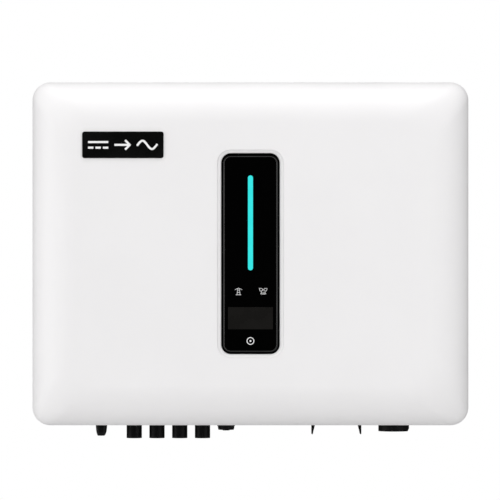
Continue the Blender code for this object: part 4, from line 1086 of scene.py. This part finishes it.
# %% Squeeze latches
LATCH = [(30.8, -6.5), (26.6, -6.5), (26.2, -8.0), (26.4, -20.0), (26.7, -22.5), (27.5, -25.5), (28.4, -28.8),
         (28.9, -31.5), (29.3, -32.8), (30.2, -33.0), (30.8, -32.4)]
for side, label in ((-1, "left"), (1, "right")):
    outline = [(side * (x - PIVOT[0]) * MM, (z - PIVOT[1]) * MM) for x, z in soften(LATCH, 0.6, closed=True)]
    if side > 0:
        outline.reverse()
    lever = plate([outline], 17.2 * MM, "lever", 0.35 * MM)
    pin = turned([(0, 11.2), (1.5, 11.2), (1.5, -11.2), (0, -11.2)], "pin", 0.3, steps=24)
    add(f"squeeze_latch_{label}", merged([(lever, UPRIGHT), (pin, UPRIGHT)], f"squeeze_latch_{label}"),
        f"com_latch_{label}", MOULDED_BLACK, com_at + Vector((side * PIVOT[0] * MM, 0, PIVOT[1] * MM)),
        instead_of=[f"com_latch_{label}"])

# %% [markdown]
# ## Grid port
#
# A square flange with a round barrel for the grid plug, closed by a bayonet cap with a flat for the thumb. The
# seal in the cap goes into the ring-shaped gap round the contacts. The flat is cut off with a tilted block.

# %% Grid port cap
ac_at = port_axis("ac_socket")
CAP_RADIUS, CAP_END = 19.0, -29.2
ac_cap_profile = [(0, -25.0), (16.0, -25.0), (16.0, -5.5), (CAP_RADIUS, -5.5), (CAP_RADIUS, CAP_END),
                  (15.5, CAP_END), (14.8, -28.6), (5.5, -28.6), (4.8, CAP_END), (0, CAP_END)]
ac_cap = add("bayonet_cap", turned(ac_cap_profile, "bayonet_cap", 0.35, steps=96), "ac_cap", MOULDED_BLACK, ac_at,
             instead_of=["ac_cap"])
THUMB_ACROSS, THUMB_UP = 2.0, 3.7           # the flat's run across the end and up the side
tilt = atan2(THUMB_ACROSS, THUMB_UP)
flat_middle = Vector((CAP_RADIUS - THUMB_ACROSS / 2, 0, CAP_END + THUMB_UP / 2)) * MM
outward = Vector((cos(tilt), 0, -sin(tilt)))
block = plate([rounded_outline(6 * MM, 20 * MM, 0.5 * MM, segments=2)], 12 * MM, "cutter")
carve(ac_cap, [(block, ac_at + flat_middle + outward * 3 * MM, (0, tilt, 0))])

# %% [markdown]
# The socket behind the cap is a turned barrel with a ring-shaped gap, on a square plate with four screw holes.

# %% Grid port socket and seal
barrel_profile = [(0, 14), (15.0, 14), (15.0, -4.0), (15.5, -4.2), (15.5, -22.0), (12.5, -22.0), (12.5, -6.0),
                  (9.0, -6.0), (9.0, -20.0), (0, -20.0)]
flange_holes = [circle(1.6 * MM, (x * 17.5 * MM, y * 17.5 * MM), 16) for x in (-1, 1) for y in (-1, 1)]
ac_parts = [(turned(barrel_profile, "barrel", 0.4), Matrix()),
            level([rounded_outline(44 * MM, 44 * MM, 6 * MM)] + flange_holes, -5.0, -0.3, "flange", 0.6)]
add("grid_socket", merged(ac_parts, "grid_socket"), "inverter", MOULDED_BLACK, ac_at, instead_of=["ac_socket"])
ac_seal_profile = [(0, -20.3), (9.4, -20.3), (9.4, -8.0), (12.1, -8.0), (12.1, -22.3), (15.5, -22.3), (15.5, -24.7),
                   (0, -24.7)]
add("bayonet_cap_seal", turned(ac_seal_profile, "bayonet_cap_seal", 0.4), "ac_seal", SEAL_RUBBER, ac_at,
    instead_of=["ac_seal"])

# %% [markdown]
# ## Vent and earth terminal
#
# A pressure vent with a ribbed cap lets the sealed housing breathe. The earth terminal is a hexagon screw with a
# washer on the housing's side, next to the usual earth sign: a stem and three shortening bars.

# %% Vent plug
vent_profile = [(0, 10), (5.5, 10), (5.5, 0), (8.5, -0.3), (8.5, -6.0), (7.0, -8.5), (0, -8.5)]
vent = turned(vent_profile, "pressure_vent", 0.5, ribs=14, rib_depth=0.6, rib_span=(-5.6, -0.6))
add("pressure_vent", vent, "inverter", MOULDED_BLACK, port_axis("vent_plug"), instead_of=["vent_plug"])

# %% [markdown]
# The earth screw's washer is turned and its head is a six-sided plate with softened edges.

# %% Earth screw and sign
WALL_X = TRAY[0] / 2
earth_z = middle("earth_screw").z
washer = turned([(0, 1.8), (8.0, 1.8), (8.0, 0.3), (2.9, 0.3), (2.9, -10), (0, -10)], "washer", 0.3, steps=48)
head = plate([circle(5.2 * MM, steps=6)], 4.0 * MM, "head", 0.4 * MM)
earth_mesh = merged([(washer, Matrix()), (head, Matrix.Translation((0, 0, 3.8 * MM)))], "earth_bolt")
add("earth_bolt", earth_mesh, "inverter", SCREW_STEEL, (WALL_X, PORT_Y, earth_z), (0, pi / 2, 0), ["earth_screw"])
earth_sign = [[(0, 5), (0, 0)], [(-4, 0), (4, 0)], [(-2.6, -1.9), (2.6, -1.9)], [(-1.2, -3.8), (1.2, -3.8)]]
add("earth_sign", strokes(scaled(earth_sign, MM), 0.8 * MM, INK, "earth_sign"), "inverter", RELAY_BLACK,
    (WALL_X + INK / 2, PORT_Y, earth_z + 18 * MM), ALONG_X)

# %% [markdown]
# ## The pieces that stay as they are
#
# The inner pieces keep the frame's solids. Each gets the finish of its kind by taking the place of the plain
# material that came with it.

# %% Finishes for the frame's own pieces
KEPT = {"cover_gasket": SEAL_RUBBER, "display_board": BOARD_GREEN, "ribbon_cable": RIBBON_GREY,
        "dc_switch_module": RELAY_BLACK, "dc_switch_shaft": MOULDED_BLACK, "power_board": BOARD_GREEN,
        "control_board": BOARD_GREEN, "control_shield": ZINC_SHEET, "igbt_module": POTTING,
        "boost_choke_1": CHOKE_GREY, "boost_choke_2": CHOKE_GREY, "ac_choke": CHOKE_GREY,
        "relay_bank": RELAY_BLACK, "ac_lead": WIRE_BLACK, "fan_frame": MOULDED_BLACK, "fan_rotor": RELAY_BLACK}
KEPT.update({f"dc_capacitor_{i}": SLEEVE_BLUE for i in range(1, 4)})
KEPT.update({f"pv_lead_{i}": WIRE_RED if i % 2 else WIRE_BLACK for i in range(1, 5)})
for name, material in KEPT.items():
    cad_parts[name].data.materials.clear()
    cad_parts[name].data.materials.append(material)
shown = {name for name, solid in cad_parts.items() if not solid.hide_render}
print("kept solids:", len(shown), "without a finish of their own:", sorted(shown - set(KEPT)))

# %% [markdown]
# ## Floor, light and camera
#
# A plain pale floor lies well below the part. It is a single face, and from below it is clear, so that the ports
# can be looked at from there.

# %% Floor
FLOOR_DROP = 0.95
FLOOR_HALF = 2.2
corners = [(x * FLOOR_HALF, y * FLOOR_HALF, 0) for x, y in ((-1, -1), (1, -1), (1, 1), (-1, 1))]
floor_mesh = bpy.data.meshes.new("floor")
floor_mesh.from_pydata(corners, [], [(0, 1, 2, 3)])
floor = placed("floor", floor_mesh, (0, 0, BODY.z - FLOOR_DROP))
floor_paint = finish("floor_paint", (0.8, 0.8, 0.8), 0.7, specular=0.1, grain_scale=60, mottle=0.01)
tree = floor_paint.node_tree
clear = tree.nodes.new("ShaderNodeBsdfTransparent")
from_below = tree.nodes.new("ShaderNodeMixShader")
tree.links.new(tree.nodes.new("ShaderNodeNewGeometry").outputs["Backfacing"], from_below.inputs[0])
tree.links.new(tree.nodes["Principled BSDF"].outputs[0], from_below.inputs[1])
tree.links.new(clear.outputs[0], from_below.inputs[2])
tree.links.new(from_below.outputs[0], tree.nodes["Material Output"].inputs["Surface"])
floor_mesh.materials.append(floor_paint)
print(f"floor {FLOOR_DROP:.2f} m below the middle of the cover")

# %% [markdown]
# The world is white to the camera and much dimmer to everything else, so that the background stays clean while the
# softboxes do the modelling. The Light Path node tells the two apart.

# %% World
FILL = 0.245
GLOSS_FILL = 0.05
world = bpy.data.worlds.new("studio")
bpy.context.scene.world = world
world.use_nodes = True
tree = world.node_tree
background = tree.nodes["Background"]
path = tree.nodes.new("ShaderNodeLightPath")
seen = maths(tree, "MAXIMUM", maths(tree, "MULTIPLY", path.outputs["Is Diffuse Ray"], FILL),
             maths(tree, "MULTIPLY", path.outputs["Is Glossy Ray"], GLOSS_FILL))
tree.links.new(maths(tree, "MAXIMUM", seen, path.outputs["Is Camera Ray"]), background.inputs["Strength"])
background.inputs["Color"].default_value = (1, 1, 1, 1)
print(f"world: {FILL} of its white to matt surfaces, {GLOSS_FILL} to gloss")

# %% [markdown]
# The light is soft and comes from all round, as in a studio. A big softbox overhead makes the upper roll the
# brightest. Of the two at the sides the left one is much the stronger, so the right and lower rolls fall into a
# gentle shade. Two at the front corners even out the face. Every softbox looks at the middle of the cover.

# %% Softboxes
SOFTBOXES = {                               # direction from the part, distance, size in metres, power in watts
    "softbox_top": ((0, -0.15, 1), 1.9, (2.2, 1.6), 28.2),
    "softbox_left": ((-1, -0.25, 0.05), 2.2, (1.6, 2.0), 20.6),
    "softbox_left_front": ((-1, -0.9, 0.15), 2.4, (1.6, 2.0), 3.6),
    "softbox_front": ((0, -1, 0.05), 3.0, (2.4, 2.4), 25.6),
    "softbox_right_front": ((1, -0.9, 0.15), 2.4, (1.6, 2.0), 16.8),
    "softbox_right": ((1, -0.25, 0.05), 2.2, (1.6, 2.0), 1.8)}
for name, (direction, distance, size, power) in SOFTBOXES.items():
    light = bpy.data.lights.new(name, "AREA")
    light.shape = "RECTANGLE"
    light.size, light.size_y = size
    light.energy = power
    softbox = placed(name, light, BODY + Vector(direction).normalized() * distance)
    softbox.rotation_mode = "QUATERNION"
    softbox.rotation_quaternion = (-Vector(direction)).to_track_quat("-Z", "Y")
bpy.data.objects["softbox_front"].visible_glossy = False    # the panel mirrors what is in front of it
print(len(SOFTBOXES), "softboxes")

# %% [markdown]
# The camera stands square on and far away with a long lens, so that the ports' ends and the cover's edge keep their
# true proportions. The Standard view transform keeps white paint white.

# %% Camera
LENS = 300.0
VIEW_WIDTH = 614.5 * MM                     # how much the view spans at the cover's rim
camera_data = bpy.data.cameras.new("camera")
camera_data.lens = LENS
camera_data.clip_end = 50
distance = VIEW_WIDTH * LENS / camera_data.sensor_width
camera = placed("camera", camera_data, (BODY.x - 0.55 * MM, RIM_Y - distance, BODY.z + 4.73 * MM), (pi / 2, 0, 0))
bpy.context.scene.camera = camera
bpy.context.scene.view_settings.view_transform = "Standard"
print(f"camera {distance:.2f} m in front of the rim")
